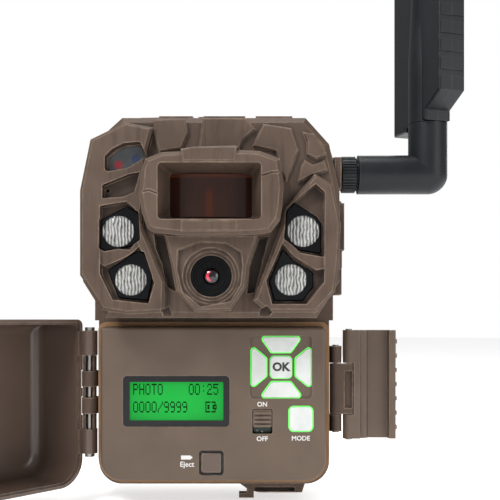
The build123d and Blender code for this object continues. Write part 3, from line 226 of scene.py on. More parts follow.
# %% [markdown]
# The grain is two sizes of noise added together, for bump. A third, slow noise is given out as
# the blotches that move a moulding from one shade to the next.

# %% Mould grain
grain_group, grain_in, grain_out = effect("mould grain", {"Scale": 2600.0, "Blotch": 60.0},
                                          ["Height", "Blotch"])
place = object_place(grain_group)
fine = noise(grain_group, place, grain_in.outputs["Scale"], 2.0, 0.6)
coarse_scale = sum_node(grain_group, "MULTIPLY", grain_in.outputs["Scale"], 0.32)
coarse = noise(grain_group, place, coarse_scale, 2.0)
height = sum_node(grain_group, "ADD", fine, sum_node(grain_group, "MULTIPLY", coarse, 0.8))
grain_group.links.new(height, grain_out.inputs["Height"])
blotch = noise(grain_group, place, grain_in.outputs["Blotch"], 3.0)
grain_group.links.new(spread(grain_group, blotch, 0.3, 0.7), grain_out.inputs["Blotch"])
print("effect:", grain_group.name)

# %% [markdown]
# The housing is moulded to look like bark, with long upright fibres in its surface. The same
# noise is stretched along the height of the object, so it breaks into strands.

# %% Bark fibre
fibre_group, fibre_in, fibre_out = effect("bark fibre", {"Scale": 420.0, "Stretch": 0.09}, ["Height", "Mask"])
long_way = fibre_group.nodes.new("ShaderNodeMapping")
long_size = fibre_group.nodes.new("ShaderNodeCombineXYZ")
long_size.inputs["X"].default_value = 1.0
long_size.inputs["Y"].default_value = 1.0
fibre_group.links.new(fibre_in.outputs["Stretch"], long_size.inputs["Z"])
fibre_group.links.new(long_size.outputs[0], long_way.inputs["Scale"])
fibre_group.links.new(object_place(fibre_group), long_way.inputs["Vector"])
strands = noise(fibre_group, long_way.outputs["Vector"], fibre_in.outputs["Scale"], 5.0, 0.65)
fibre_group.links.new(strands, fibre_out.inputs["Height"])
fibre_group.links.new(spread(fibre_group, strands, 0.50, 0.34), fibre_out.inputs["Mask"])
print("effect:", fibre_group.name)

# %% [markdown]
# A pale edge, partly rubbed wear and partly painted highlight, is found by comparing the true
# normal with the normal of a slightly rounded copy of the surface: they differ only near an
# edge. Corner darkening, partly dust and partly painted shade, is the opposite, and comes
# from how closed-in a point is. Both are broken up by noise, because wear is never even.

# %% Pale edges and dark corners: rubbed wear and dust, with painted highlight and painted shade
edge_wear_highlight_group, edge_wear_highlight_in, edge_wear_highlight_out = effect("edge wear and painted highlight", {"Radius": 0.0007, "Breakup": 300.0}, ["Mask"])
rounded = edge_wear_highlight_group.nodes.new("ShaderNodeBevel")
rounded.samples = 4
edge_wear_highlight_group.links.new(edge_wear_highlight_in.outputs["Radius"], rounded.inputs["Radius"])
geometry = edge_wear_highlight_group.nodes.new("ShaderNodeNewGeometry")
compare = edge_wear_highlight_group.nodes.new("ShaderNodeVectorMath")
compare.operation = "DOT_PRODUCT"
edge_wear_highlight_group.links.new(rounded.outputs["Normal"], compare.inputs[0])
edge_wear_highlight_group.links.new(geometry.outputs["Normal"], compare.inputs[1])
edge = spread(edge_wear_highlight_group, compare.outputs["Value"], 0.995, 0.80)
patchy = noise(edge_wear_highlight_group, object_place(edge_wear_highlight_group), edge_wear_highlight_in.outputs["Breakup"], 4.0)
edge_wear_highlight = sum_node(edge_wear_highlight_group, "MULTIPLY", edge, spread(edge_wear_highlight_group, patchy, 0.35, 0.6, 0.25, 1.0), clamp=True)
edge_wear_highlight_group.links.new(edge_wear_highlight, edge_wear_highlight_out.inputs["Mask"])

dust_shade_group, dust_shade_in, dust_shade_out = effect("corner dust and painted shade", {"Reach": 0.0065, "Breakup": 180.0}, ["Mask"])
closed = dust_shade_group.nodes.new("ShaderNodeAmbientOcclusion")
closed.samples = 4
closed.only_local = True
dust_shade_group.links.new(dust_shade_in.outputs["Reach"], closed.inputs["Distance"])
dark = spread(dust_shade_group, closed.outputs["AO"], 0.84, 0.32)
patchy = noise(dust_shade_group, object_place(dust_shade_group), dust_shade_in.outputs["Breakup"], 4.0)
dust_shade_mix = sum_node(dust_shade_group, "MULTIPLY", dark, spread(dust_shade_group, patchy, 0.3, 0.7, 0.7, 1.0), clamp=True)
dust_shade_group.links.new(dust_shade_mix, dust_shade_out.inputs["Mask"])
print("effects:", edge_wear_highlight_group.name, "and", dust_shade_group.name)


# %% [markdown]
# Every material below is written with these few helpers: one places a group with its own
# values, one mixes two colours, one starts a material, and one turns a height into bump.

# %% Use of the groups inside a material
def use_effect(tree, group, **values):
    """Place a group in a material and set its inputs by name."""
    node = tree.nodes.new("ShaderNodeGroup")
    node.node_tree = group
    for label, value in values.items():
        node.inputs[label].default_value = value
    return node


def mix_colour(tree, factor, a, b, blend="MIX"):
    """Mix two colours; each is a socket or a plain colour."""
    node = tree.nodes.new("ShaderNodeMix")
    node.data_type = "RGBA"
    node.blend_type = blend
    for socket, value in ((node.inputs[0], factor), (node.inputs[6], a), (node.inputs[7], b)):
        if isinstance(value, (int, float)):
            socket.default_value = value
        elif isinstance(value, tuple):
            socket.default_value = (*value, 1.0)
        else:
            tree.links.new(value, socket)
    return node.outputs[2]


def new_finish(name):
    """An empty material: its tree and its Principled shader."""
    material = bpy.data.materials.new(name)
    material.use_nodes = True
    return material, material.node_tree, material.node_tree.nodes["Principled BSDF"]


def bump(tree, height, strength, distance, shader):
    """Feed a height into the shader's normal."""
    node = tree.nodes.new("ShaderNodeBump")
    node.inputs["Strength"].default_value = strength
    node.inputs["Distance"].default_value = distance
    tree.links.new(height, node.inputs["Height"])
    tree.links.new(node.outputs["Normal"], shader.inputs["Normal"])


# %% [markdown]
# ## Moulded plastics
# One recipe serves every moulded part: two close tones in slow blotches, pale edges that are
# partly rubbed wear and partly painted highlight, darker corners that are partly dust and partly
# painted shade, and the mould grain as bump. Its numbers change from part to part. The brown
# housing is coarse and matte, the antenna is smoother, and the bezels are polished. The four
# colours of a finish are its two tones, its pale edges and its darkened corners.

# %% Moulded plastic recipe
def moulded(name, shade, light, edge_wear_highlight_colour, stain_and_shade_colour, rough, grain=2600.0, depth=0.00006, strength=0.5,
            blotch=60.0, edge=0.0006, edge_wear_highlight_weight=0.8, dust_shade_weight=0.9, shine=0.5, fibre=0.0, uneven=0.06):
    """A moulded plastic; fibre above nothing adds bark strands to its colour and its bump."""
    material, tree, shader = new_finish(name)
    surface = use_effect(tree, grain_group, Scale=grain, Blotch=blotch)
    edge_wear_highlight = use_effect(tree, edge_wear_highlight_group, Radius=edge)
    corner_dust_shade = use_effect(tree, dust_shade_group)
    colour = mix_colour(tree, surface.outputs["Blotch"], shade, light)
    height = surface.outputs["Height"]
    if fibre:
        strand = use_effect(tree, fibre_group)
        stain = sum_node(tree, "MULTIPLY", strand.outputs["Mask"], 0.45 * fibre)
        colour = mix_colour(tree, stain, colour, stain_and_shade_colour)
        ridges = sum_node(tree, "MULTIPLY", strand.outputs["Height"], 3.0 * fibre)
        height = sum_node(tree, "ADD", height, ridges)
    # painted shade: corners and recesses darken with how closed-in they are, partly dust and partly shade
    colour = mix_colour(tree, sum_node(tree, "MULTIPLY", corner_dust_shade.outputs["Mask"], dust_shade_weight), colour, stain_and_shade_colour)
    # painted highlight: edges turn pale, partly rubbed wear and partly the light that edges catch
    colour = mix_colour(tree, sum_node(tree, "MULTIPLY", edge_wear_highlight.outputs["Mask"], edge_wear_highlight_weight), colour, edge_wear_highlight_colour)
    tree.links.new(colour, shader.inputs["Base Color"])
    shader.inputs["Specular IOR Level"].default_value = shine
    roughness = spread(tree, surface.outputs["Blotch"], 0.0, 1.0, rough - uneven, rough + uneven)
    tree.links.new(roughness, shader.inputs["Roughness"])
    bump(tree, height, strength, depth, shader)
    return material


brown_shell = moulded("brown shell", (0.073, 0.047, 0.034), (0.101, 0.067, 0.048), (0.32, 0.235, 0.175),
                      (0.008, 0.005, 0.004), 0.56, shine=0.28, edge_wear_highlight_weight=1.0, fibre=0.6, edge=0.0008)
# painted light: the panel's brown is a lighter copy of the shell's brown, to make up for the shade that the
# hood casts on the set-back panel; the knob and the latch lever share it
panel_brown_lightened = moulded("panel brown lightened against hood shade", (0.102, 0.070, 0.050), (0.124, 0.087, 0.063), (0.26, 0.195, 0.15),
                      (0.022, 0.015, 0.011), 0.46, grain=3000.0, strength=0.3, shine=0.36)
door_brown = moulded("door brown", (0.096, 0.064, 0.049), (0.108, 0.073, 0.056), (0.26, 0.195, 0.15),
                     (0.016, 0.011, 0.009), 0.26, grain=1900.0, strength=0.25, dust_shade_weight=0.75, blotch=24.0,
                     uneven=0.015)
# painted highlight: the button's very pale edge colour stands for the light on its glossy rim, with some wear
button_brown = moulded("button brown", (0.086, 0.058, 0.043), (0.100, 0.068, 0.051), (0.45, 0.36, 0.29),
                       (0.016, 0.011, 0.009), 0.20, grain=1900.0, strength=0.15, edge=0.0009, edge_wear_highlight_weight=1.0)
charcoal = moulded("charcoal plastic", (0.0050, 0.0066, 0.0084), (0.0080, 0.0098, 0.0120),
                   (0.060, 0.064, 0.068), (0.002, 0.0025, 0.003), 0.40, grain=3200.0, strength=0.35,
                   edge_wear_highlight_weight=0.5, shine=0.30)
black_gloss = moulded("polished black", (0.0022, 0.0026, 0.0034), (0.004, 0.0045, 0.0055),
                      (0.03, 0.032, 0.035), (0.001, 0.001, 0.0012), 0.16, grain=900.0, strength=0.05,
                      edge_wear_highlight_weight=0.4, shine=0.3)
lens_black = moulded("flocked lens black", (0.0016, 0.0018, 0.0020), (0.003, 0.0032, 0.0035),
                     (0.02, 0.021, 0.022), (0.0008, 0.0008, 0.001), 0.42, grain=4200.0, strength=0.2,
                     edge_wear_highlight_weight=0.6, shine=0.10)
seal_tan = moulded("tan seal", (0.20, 0.105, 0.045), (0.27, 0.145, 0.065), (0.50, 0.32, 0.17),
                   (0.12, 0.07, 0.04), 0.62, grain=1800.0, edge_wear_highlight_weight=0.3)
seal_black = moulded("black seal", (0.012, 0.012, 0.013), (0.02, 0.02, 0.021), (0.04, 0.04, 0.04),
                     (0.006, 0.006, 0.006), 0.7, grain=1800.0, edge_wear_highlight_weight=0.2)
lead_black = moulded("black lead jacket", (0.01, 0.01, 0.011), (0.016, 0.016, 0.017),
                     (0.04, 0.04, 0.04), (0.005, 0.005, 0.005), 0.45, grain=4000.0, edge_wear_highlight_weight=0.2)
print("moulded finishes:", len(bpy.data.materials) - 1, "ready")

# %% [markdown]
# ## Metals, boards and cells
# Turned steel shows fine rings of scratches, so its roughness is stretched along one direction.
# Circuit boards get a pattern of traces from a brick texture, and the cells a printed jacket
# with a band near one end.

# %% Metal recipe
def metal(name, shade, light, rough, stretch=(1.0, 1.0, 12.0)):
    """Bare metal with fine scratches, and corners darkened by a little grime and painted shade."""
    material, tree, shader = new_finish(name)
    mapping = tree.nodes.new("ShaderNodeMapping")
    mapping.inputs["Scale"].default_value = stretch
    tree.links.new(object_place(tree), mapping.inputs["Vector"])
    scratches = noise(tree, mapping.outputs["Vector"], 900.0, 4.0, 0.7)
    corner_dust_shade = use_effect(tree, dust_shade_group, Reach=0.002)
    colour = mix_colour(tree, scratches, shade, light)
    # painted shade: corners darken, partly grime and partly shade
    grime_and_shade = sum_node(tree, "MULTIPLY", corner_dust_shade.outputs["Mask"], 0.6)
    colour = mix_colour(tree, grime_and_shade, colour, (0.05, 0.045, 0.04))
    tree.links.new(colour, shader.inputs["Base Color"])
    tree.links.new(spread(tree, scratches, 0.2, 0.8, rough - 0.08, rough + 0.12), shader.inputs["Roughness"])
    shader.inputs["Metallic"].default_value = 1.0
    bump(tree, scratches, 0.15, 0.00003, shader)
    return material


steel = metal("turned steel", (0.42, 0.42, 0.43), (0.66, 0.66, 0.67), 0.28)
# painted shade: the pins' steel is darker than the turned steel, partly a duller metal and partly to stand
# for the shade in the gaps between the knuckles
dull_shaded_pin = metal("dull pin darkened for gap shade", (0.20, 0.19, 0.18), (0.46, 0.45, 0.43), 0.30, stretch=(1.0, 1.0, 0.2))
brass = metal("plain brass", (0.48, 0.33, 0.12), (0.72, 0.54, 0.25), 0.3)
print("metals:", steel.name, dull_shaded_pin.name, "and", brass.name)


# %% Circuit board and parts on it
def board_finish():
    """Green board with a pattern of traces, and small solder pads here and there."""
    material, tree, shader = new_finish("circuit board")
    place = object_place(tree)
    upright = tree.nodes.new("ShaderNodeMapping")
    upright.inputs["Rotation"].default_value = (math.radians(90), 0, 0)
    tree.links.new(place, upright.inputs["Vector"])
    traces = tree.nodes.new("ShaderNodeTexBrick")
    traces.inputs["Scale"].default_value = 260.0
    traces.inputs["Mortar Size"].default_value = 0.035
    traces.inputs["Color1"].default_value = (0.002, 0.016, 0.008, 1)
    traces.inputs["Color2"].default_value = (0.003, 0.022, 0.011, 1)
    traces.inputs["Mortar"].default_value = (0.01, 0.06, 0.028, 1)
    tree.links.new(upright.outputs["Vector"], traces.inputs["Vector"])
    pads = tree.nodes.new("ShaderNodeTexVoronoi")
    pads.inputs["Scale"].default_value = 420.0
    tree.links.new(place, pads.inputs["Vector"])
    solder = spread(tree, pads.outputs["Distance"], 0.16, 0.13)
    colour = mix_colour(tree, solder, traces.outputs["Color"], (0.55, 0.53, 0.48))
    tree.links.new(colour, shader.inputs["Base Color"])
    tree.links.new(spread(tree, solder, 0.0, 1.0, 0.32, 0.22), shader.inputs["Roughness"])
    bump(tree, solder, 0.4, 0.00008, shader)
    return material


def cell_finish(low, high):
    """Printed battery jacket: charcoal, with a copper band near the top cap and bare steel ends."""
    material, tree, shader = new_finish("cell jacket")
    parts = tree.nodes.new("ShaderNodeSeparateXYZ")
    tree.links.new(object_place(tree), parts.inputs["Vector"])
    along = spread(tree, parts.outputs["Z"], low, high)
    band = sum_node(tree, "GREATER_THAN", along, 0.74)
    ends = sum_node(tree, "ADD", sum_node(tree, "GREATER_THAN", along, 0.965),
                    sum_node(tree, "LESS_THAN", along, 0.012), clamp=True)
    surface = use_effect(tree, grain_group, Scale=1200.0, Blotch=200.0)
    colour = mix_colour(tree, surface.outputs["Blotch"], (0.02, 0.02, 0.023), (0.035, 0.035, 0.038))
    colour = mix_colour(tree, band, colour, (0.45, 0.22, 0.08))
    colour = mix_colour(tree, ends, colour, (0.6, 0.6, 0.6))
    tree.links.new(colour, shader.inputs["Base Color"])
    tree.links.new(ends, shader.inputs["Metallic"])
    shader.inputs["Roughness"].default_value = 0.3
    bump(tree, surface.outputs["Height"], 0.1, 0.00003, shader)
    return material


board_green = board_finish()
cell_low, cell_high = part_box("batteries")
cell_jacket = cell_finish(cell_low.z, cell_high.z)
chip_phosphor = moulded("light chip phosphor", (0.55, 0.42, 0.08), (0.72, 0.60, 0.16), (0.8, 0.75, 0.5),
                        (0.2, 0.15, 0.05), 0.4, grain=6000.0)
shield_can = metal("module shield can", (0.5, 0.5, 0.5), (0.62, 0.62, 0.61), 0.36, stretch=(8.0, 1.0, 1.0))
card_label = moulded("memory card case", (0.012, 0.014, 0.03), (0.02, 0.022, 0.045), (0.1, 0.1, 0.12),
                     (0.004, 0.004, 0.006), 0.35)
print("board, cells, chips and card are ready")

# %% [markdown]
# ## Clear and tinted plastics
# Clear mouldings let light through, with slow flow marks in their tint and a film of dust that
# makes their gloss uneven. One recipe serves the plain ones.

# %% Clear recipe
def tinted(name, tint, other_tint, rough, transmission, ior=1.49):
    """A clear moulding in two close tints; transmission is how much light passes."""
    material, tree, shader = new_finish(name)
    place = object_place(tree)
    flow = noise(tree, place, 120.0, 3.0)
    colour = mix_colour(tree, spread(tree, flow, 0.35, 0.65), tint, other_tint)
    tree.links.new(colour, shader.inputs["Base Color"])
    dusty = noise(tree, place, 700.0, 4.0, 0.7)
    tree.links.new(spread(tree, dusty, 0.45, 0.8, rough, rough + 0.12), shader.inputs["Roughness"])
    shader.inputs["Transmission Weight"].default_value = transmission
    shader.inputs["IOR"].default_value = ior
    bump(tree, flow, 0.12, 0.00008, shader)
    return material


clear_acrylic = tinted("clear acrylic", (0.93, 0.94, 0.94), (0.98, 0.98, 0.98), 0.03, 1.0)
filter_glass = tinted("filter glass", (0.35, 0.75, 0.78), (0.45, 0.8, 0.82), 0.03, 0.8, ior=1.52)
print("clear:", clear_acrylic.name, "and", filter_glass.name)

# %% [markdown]
# The motion window is a dark amber moulding over a heat sensor. It looks nearly black at its
# sides, and one warmer streak shows where the sensor stands behind it. The streak is worked
# out from the distance to the middle, so it needs no drawing.

# %% Amber window
def amber_finish():
    """Dark amber plastic: nearly black at its sides, with one lit streak where the sensor shows."""
    material, tree, shader = new_finish("amber window")
    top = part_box("pir_window")[1].z
    parts = tree.nodes.new("ShaderNodeSeparateXYZ")
    place = object_place(tree)
    tree.links.new(place, parts.inputs["Vector"])
    side = sum_node(tree, "ABSOLUTE", parts.outputs["X"])
    dark_side = spread(tree, side, 8.5 * MM, 13.5 * MM)
    narrow = sum_node(tree, "ABSOLUTE", sum_node(tree, "ADD", parts.outputs["X"], 0.6 * MM))
    body = spread(tree, narrow, 1.7 * MM, 0.8 * MM)
    lowest = spread(tree, parts.outputs["Z"], top - 4.5 * MM, top - 7.5 * MM)
    streak = sum_node(tree, "MULTIPLY", body, lowest)
    flow = noise(tree, place, 150.0, 3.0)
    colour = mix_colour(tree, flow, (0.030, 0.0105, 0.0065), (0.044, 0.0165, 0.0105))
    colour = mix_colour(tree, dark_side, colour, (0.020, 0.0035, 0.0015))
    colour = mix_colour(tree, sum_node(tree, "MULTIPLY", streak, 0.75), colour, (0.085, 0.017, 0.004))
    # painted highlight: a lighter line just below the window's top edge
    line = spread(tree, parts.outputs["Z"], top - 1.6 * MM, top - 1.0 * MM)
    colour = mix_colour(tree, sum_node(tree, "MULTIPLY", line, 0.5), colour, (0.11, 0.024, 0.005))
    tree.links.new(colour, shader.inputs["Base Color"])
    tree.links.new(spread(tree, flow, 0.3, 0.8, 0.05, 0.12), shader.inputs["Roughness"])
    shader.inputs["Coat Weight"].default_value = 0.2
    shader.inputs["Coat Roughness"].default_value = 0.04
    shader.inputs["Specular IOR Level"].default_value = 0.35
    shader.inputs["Transmission Weight"].default_value = 0.08
    bump(tree, flow, 0.1, 0.00008, shader)
    return material


amber_window = amber_finish()
print("window:", amber_window.name)


# %% [markdown]
# Two indicator lamps sit behind a smoked window. Their light spreads in the plastic, so each is
# a soft spot of colour that fades with the distance from its lamp.

# %% Smoked window
def distance_to(tree, parts, x, z):
    """How far a point is from an upright line of sight through (x, z)."""
    dx = sum_node(tree, "SUBTRACT", parts.outputs["X"], x)
    dz = sum_node(tree, "SUBTRACT", parts.outputs["Z"], z)
    squares = sum_node(tree, "ADD", sum_node(tree, "MULTIPLY", dx, dx), sum_node(tree, "MULTIPLY", dz, dz))
    return sum_node(tree, "SQRT", squares)


def smoke_finish():
    """Smoked plastic over two indicator lamps, whose light spreads in it as two soft spots."""
    material, tree, shader = new_finish("smoked window")
    lamp_low, lamp_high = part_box("status_lights")
    inset = 1.6 * MM
    place = object_place(tree)
    parts = tree.nodes.new("ShaderNodeSeparateXYZ")
    tree.links.new(place, parts.inputs["Vector"])
    haze = noise(tree, place, 500.0, 3.0)
    colour = mix_colour(tree, haze, (0.080, 0.086, 0.094), (0.120, 0.126, 0.134))
    glow = None
    for x, z, light in ((lamp_low.x + inset, lamp_low.z + inset, (0.24, 0.030, 0.035)),
                        (lamp_high.x - inset, lamp_high.z - inset, (0.030, 0.045, 0.10))):
        spot = spread(tree, distance_to(tree, parts, x, z), 2.1 * MM, 1.2 * MM)
        spot = sum_node(tree, "MULTIPLY", spot, spread(tree, haze, 0.2, 0.7, 0.75, 1.0))
        colour = mix_colour(tree, spot, colour, light)
        dim_light = tuple(0.35 * part for part in light)
        glow = mix_colour(tree, spot, glow or (0.0, 0.0, 0.0), dim_light)
    tree.links.new(colour, shader.inputs["Base Color"])
    tree.links.new(glow, shader.inputs["Emission Color"])
    shader.inputs["Emission Strength"].default_value = 1.0
    tree.links.new(spread(tree, haze, 0.2, 0.8, 0.12, 0.25), shader.inputs["Roughness"])
    shader.inputs["Transmission Weight"].default_value = 0.15
    bump(tree, haze, 0.1, 0.00005, shader)
    return material


smoke_window = smoke_finish()
print("window:", smoke_window.name)


# %% [markdown]
# The lenses over the infrared lamps are pressed into wavy ribs. The mesh has the ribs too, and
# this finish paints a white highlight on each rib's crest and grey shade in the hollow beside it,
# for the sharper contrast that a lens of such small ribs shows.

# %% Ribbed acrylic
def ribbed_acrylic_painted_crests():
    """Clear acrylic with a painted white highlight on each rib's crest and painted grey shade between the
    ribs.
    """
    material, tree, shader = new_finish("ribbed acrylic with painted crest highlights")
    place = object_place(tree)
    parts = tree.nodes.new("ShaderNodeSeparateXYZ")
    tree.links.new(place, parts.inputs["Vector"])
    sway = sum_node(tree, "MULTIPLY", noise(tree, place, 300.0, 2.0), 1.9 * MM)
    swayed = sum_node(tree, "ADD", parts.outputs["X"], sway)
    stripe = sum_node(tree, "SINE", sum_node(tree, "MULTIPLY", swayed, 2 * math.pi / (1.25 * MM)))
    blot = noise(tree, place, 480.0, 3.0)
    blotted = sum_node(tree, "ADD", stripe, sum_node(tree, "MULTIPLY", blot, 2.4))
    # painted highlight: the stripes lighten the colour on the crests and leave painted grey shade between
    # them
    shine = spread(tree, blotted, -0.1, 2.3)
    colour = mix_colour(tree, shine, (0.06, 0.06, 0.056), (0.74, 0.74, 0.71))
    tree.links.new(colour, shader.inputs["Base Color"])
    tree.links.new(spread(tree, blot, 0.3, 0.7, 0.06, 0.16), shader.inputs["Roughness"])
    shader.inputs["Transmission Weight"].default_value = 0.30
    shader.inputs["IOR"].default_value = 1.49
    bump(tree, stripe, 0.6, 0.0002, shader)
    return material


ribbed_clear_painted_crests = ribbed_acrylic_painted_crests()
print("lens plastic:", ribbed_clear_painted_crests.name)


# %% [markdown]
# The camera's front glass is coated. In plain light it is almost black, with a red crescent on
# one side and a small grey dot, both of which are reflections off the coating. They are made
# here as rings of distance from two points near the middle of the glass.

# %% Coated glass
def coated_lens():
    """Dark coated glass with a painted red reflection crescent on one side and a faint painted grey
    reflection dot.
    """
    material, tree, shader = new_finish("coated glass")
    low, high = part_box("lens_glass")
    centre = (low + high) / 2
    place = object_place(tree)
    parts = tree.nodes.new("ShaderNodeSeparateXYZ")
    tree.links.new(place, parts.inputs["Vector"])

    def ring_at(dx, dz, start, end):
        """A fade from start to end, both distances from a point beside the glass's middle."""
        far = distance_to(tree, parts, centre.x + dx * MM, centre.z + dz * MM)
        return spread(tree, far, start * MM, end * MM)

    outer = ring_at(-0.2, 0.0, 2.0, 1.7)
    inner = ring_at(0.6, 0.1, 1.4, 1.8)
    red_reflection_crescent = sum_node(tree, "MULTIPLY", outer, inner, clamp=True)
    left = spread(tree, parts.outputs["X"], centre.x + 0.3 * MM, centre.x - 0.6 * MM)
    red_reflection_crescent = sum_node(tree, "MULTIPLY", red_reflection_crescent, left)
    # painted reflection: a faint grey dot
    spot = ring_at(0.7, -0.2, 0.7, 0.4)
    haze = noise(tree, place, 1500.0, 3.0)
    colour = mix_colour(tree, haze, (0.004, 0.003, 0.004), (0.010, 0.005, 0.007))
    colour = mix_colour(tree, sum_node(tree, "MULTIPLY", spot, 0.6), colour, (0.05, 0.05, 0.04))
    colour = mix_colour(tree, red_reflection_crescent, colour, (0.62, 0.035, 0.08))
    tree.links.new(colour, shader.inputs["Base Color"])
    # painted reflection: the red crescent also glows a little, though the glass is no lamp
    glow = mix_colour(tree, red_reflection_crescent, (0.0, 0.0, 0.0), (0.22, 0.012, 0.028))
    tree.links.new(glow, shader.inputs["Emission Color"])
    shader.inputs["Emission Strength"].default_value = 1.0
    tree.links.new(spread(tree, haze, 0.3, 0.7, 0.02, 0.06), shader.inputs["Roughness"])
    shader.inputs["Coat Weight"].default_value = 0.5
    shader.inputs["Coat Roughness"].default_value = 0.02
    return material


coated_glass = coated_lens()
print("front glass:", coated_glass.name)

# %% [markdown]
# ## Rubber keys
# The keys are cast in milky silicone over green lamps, so light leaks round their edges and the
# caps pick up a faint green tint near their rims.

# %% Key rubber
def key_rubber():
    """Milky rubber that turns green, and glows a little, where its rim is thin."""
    material, tree, shader = new_finish("milky key rubber")
    surface = use_effect(tree, grain_group, Scale=1500.0, Blotch=160.0)
    rim = use_effect(tree, edge_wear_highlight_group, Radius=0.0008, Breakup=60.0)
    colour = mix_colour(tree, surface.outputs["Blotch"], (0.56, 0.58, 0.56), (0.66, 0.68, 0.66))
    thin = sum_node(tree, "MULTIPLY", rim.outputs["Mask"], 0.8)
    colour = mix_colour(tree, thin, colour, (0.30, 0.85, 0.28))
    tree.links.new(colour, shader.inputs["Base Color"])
    glow = mix_colour(tree, rim.outputs["Mask"], (0.0, 0.0, 0.0), (0.01, 0.16, 0.01))
    tree.links.new(glow, shader.inputs["Emission Color"])
    shader.inputs["Emission Strength"].default_value = 1.0
    tree.links.new(spread(tree, surface.outputs["Blotch"], 0.0, 1.0, 0.42, 0.55), shader.inputs["Roughness"])
    bump(tree, surface.outputs["Height"], 0.2, 0.00004, shader)
    return material


milky_key = key_rubber()
print("keys:", milky_key.name)

# %% [markdown]
# ## Lit things
# The display is lit from behind by green lamps. Its light is strongest in the middle and falls
# off towards the corners, which is the distance from the middle with a slow cloud added.

# %% Lit display
def lit_display(low, high):
    """Backlit green display that is brighter in the middle than at its corners."""
    material, tree, shader = new_finish("lit display")
    place = object_place(tree)
    parts = tree.nodes.new("ShaderNodeSeparateXYZ")
    tree.links.new(place, parts.inputs["Vector"])
    across = spread(tree, parts.outputs["X"], low.x, high.x, -1.0, 1.0)
    upright = spread(tree, parts.outputs["Z"], low.z, high.z, -1.0, 1.0)
    far = sum_node(tree, "ADD", sum_node(tree, "MULTIPLY", across, across),
                   sum_node(tree, "MULTIPLY", upright, upright))
    cloud = noise(tree, place, 45.0, 3.0)
    shade = spread(tree, sum_node(tree, "ADD", far, cloud), 0.4, 2.6)
    colour = mix_colour(tree, shade, (0.007, 0.42, 0.048), (0.002, 0.23, 0.024))
    tree.links.new(mix_colour(tree, 0.8, colour, (0.002, 0.04, 0.006)), shader.inputs["Base Color"])
    shader.inputs["Specular IOR Level"].default_value = 0.15
    tree.links.new(colour, shader.inputs["Emission Color"])
    shader.inputs["Emission Strength"].default_value = 0.85
    tree.links.new(spread(tree, cloud, 0.0, 1.0, 0.15, 0.3), shader.inputs["Roughness"])
    return material


display_low, display_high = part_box("display_module")
display_green = lit_display(display_low, display_high)
print("display is", round((display_high.x - display_low.x) / MM, 1), "mm wide")


# %% [markdown]
# The two indicator lamps are one solid, so their finish is split in the middle: red on the left
# and blue on the right, with a thin haze over both.

# %% Indicator lamps
def indicator():
    """Two small lamps behind the smoked window, red on the left and blue on the right."""
    material, tree, shader = new_finish("indicator lamps")
    lamp_low, lamp_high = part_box("status_lights")
    parts = tree.nodes.new("ShaderNodeSeparateXYZ")
    place = object_place(tree)
    tree.links.new(place, parts.inputs["Vector"])
    side = sum_node(tree, "GREATER_THAN", parts.outputs["X"], (lamp_low.x + lamp_high.x) / 2)
    colour = mix_colour(tree, side, (0.85, 0.02, 0.01), (0.03, 0.08, 0.42))
    haze = noise(tree, place, 900.0, 2.0)
    thin_haze = sum_node(tree, "MULTIPLY", haze, 0.3)
    tree.links.new(mix_colour(tree, thin_haze, colour, (0.9, 0.8, 0.8)), shader.inputs["Base Color"])
    tree.links.new(colour, shader.inputs["Emission Color"])
    shader.inputs["Emission Strength"].default_value = 0.9
    tree.links.new(spread(tree, haze, 0.0, 1.0, 0.12, 0.25), shader.inputs["Roughness"])
    return material


indicator_lamps = indicator()
print("lamps:", indicator_lamps.name)

# %% [markdown]
# ## Helpers for new pieces
# A new piece is finished in three steps: its mesh gets a material, it is told which solid it
# rides on, and where it takes the place of a solid, that solid is hidden.

# %% Finish a piece
def finish_piece(obj, material, body="camera_body", instead_of=None):
    """Give a piece its material, hang it on the empty of the body it rides on, and hide the solid it stands
    for.
    """
    if not obj.data.materials:
        obj.data.materials.append(material)
    if instead_of:
        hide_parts(instead_of)
    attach(obj, body)
    return obj


def middle(node):
    """Centre, size and corners of a solid's box."""
    lo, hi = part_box(node)
    return (lo + hi) / 2, hi - lo, lo, hi


# %% [markdown]
# Geometry Nodes make everything here that repeats. Each tree is written out once with named
# sizes, run on a base mesh, and the result is kept as a plain mesh.

# %% Geometry Nodes helpers
def node_tree(name, inputs):
    """A Geometry Nodes tree; inputs are label: (socket type, value)."""
    tree = bpy.data.node_groups.new(name, "GeometryNodeTree")
    tree.is_modifier = True
    tree.interface.new_socket("Geometry", in_out="INPUT", socket_type="NodeSocketGeometry")
    for label, (kind, value) in inputs.items():
        socket = tree.interface.new_socket(label, in_out="INPUT", socket_type=kind)
        if value is not None:
            socket.default_value = value
    tree.interface.new_socket("Geometry", in_out="OUTPUT", socket_type="NodeSocketGeometry")
    return tree, tree.nodes.new("NodeGroupInput"), tree.nodes.new("NodeGroupOutput")


def close_tree(tree, geometry, sizes, out):
    """Every tree ends alike: real geometry, with its material set."""
    real = tree.nodes.new("GeometryNodeRealizeInstances")
    paint = tree.nodes.new("GeometryNodeSetMaterial")
    tree.links.new(geometry, real.inputs["Geometry"])
    tree.links.new(real.outputs["Geometry"], paint.inputs["Geometry"])
    tree.links.new(sizes.outputs["Material"], paint.inputs["Material"])
    tree.links.new(paint.outputs["Geometry"], out.inputs["Geometry"])


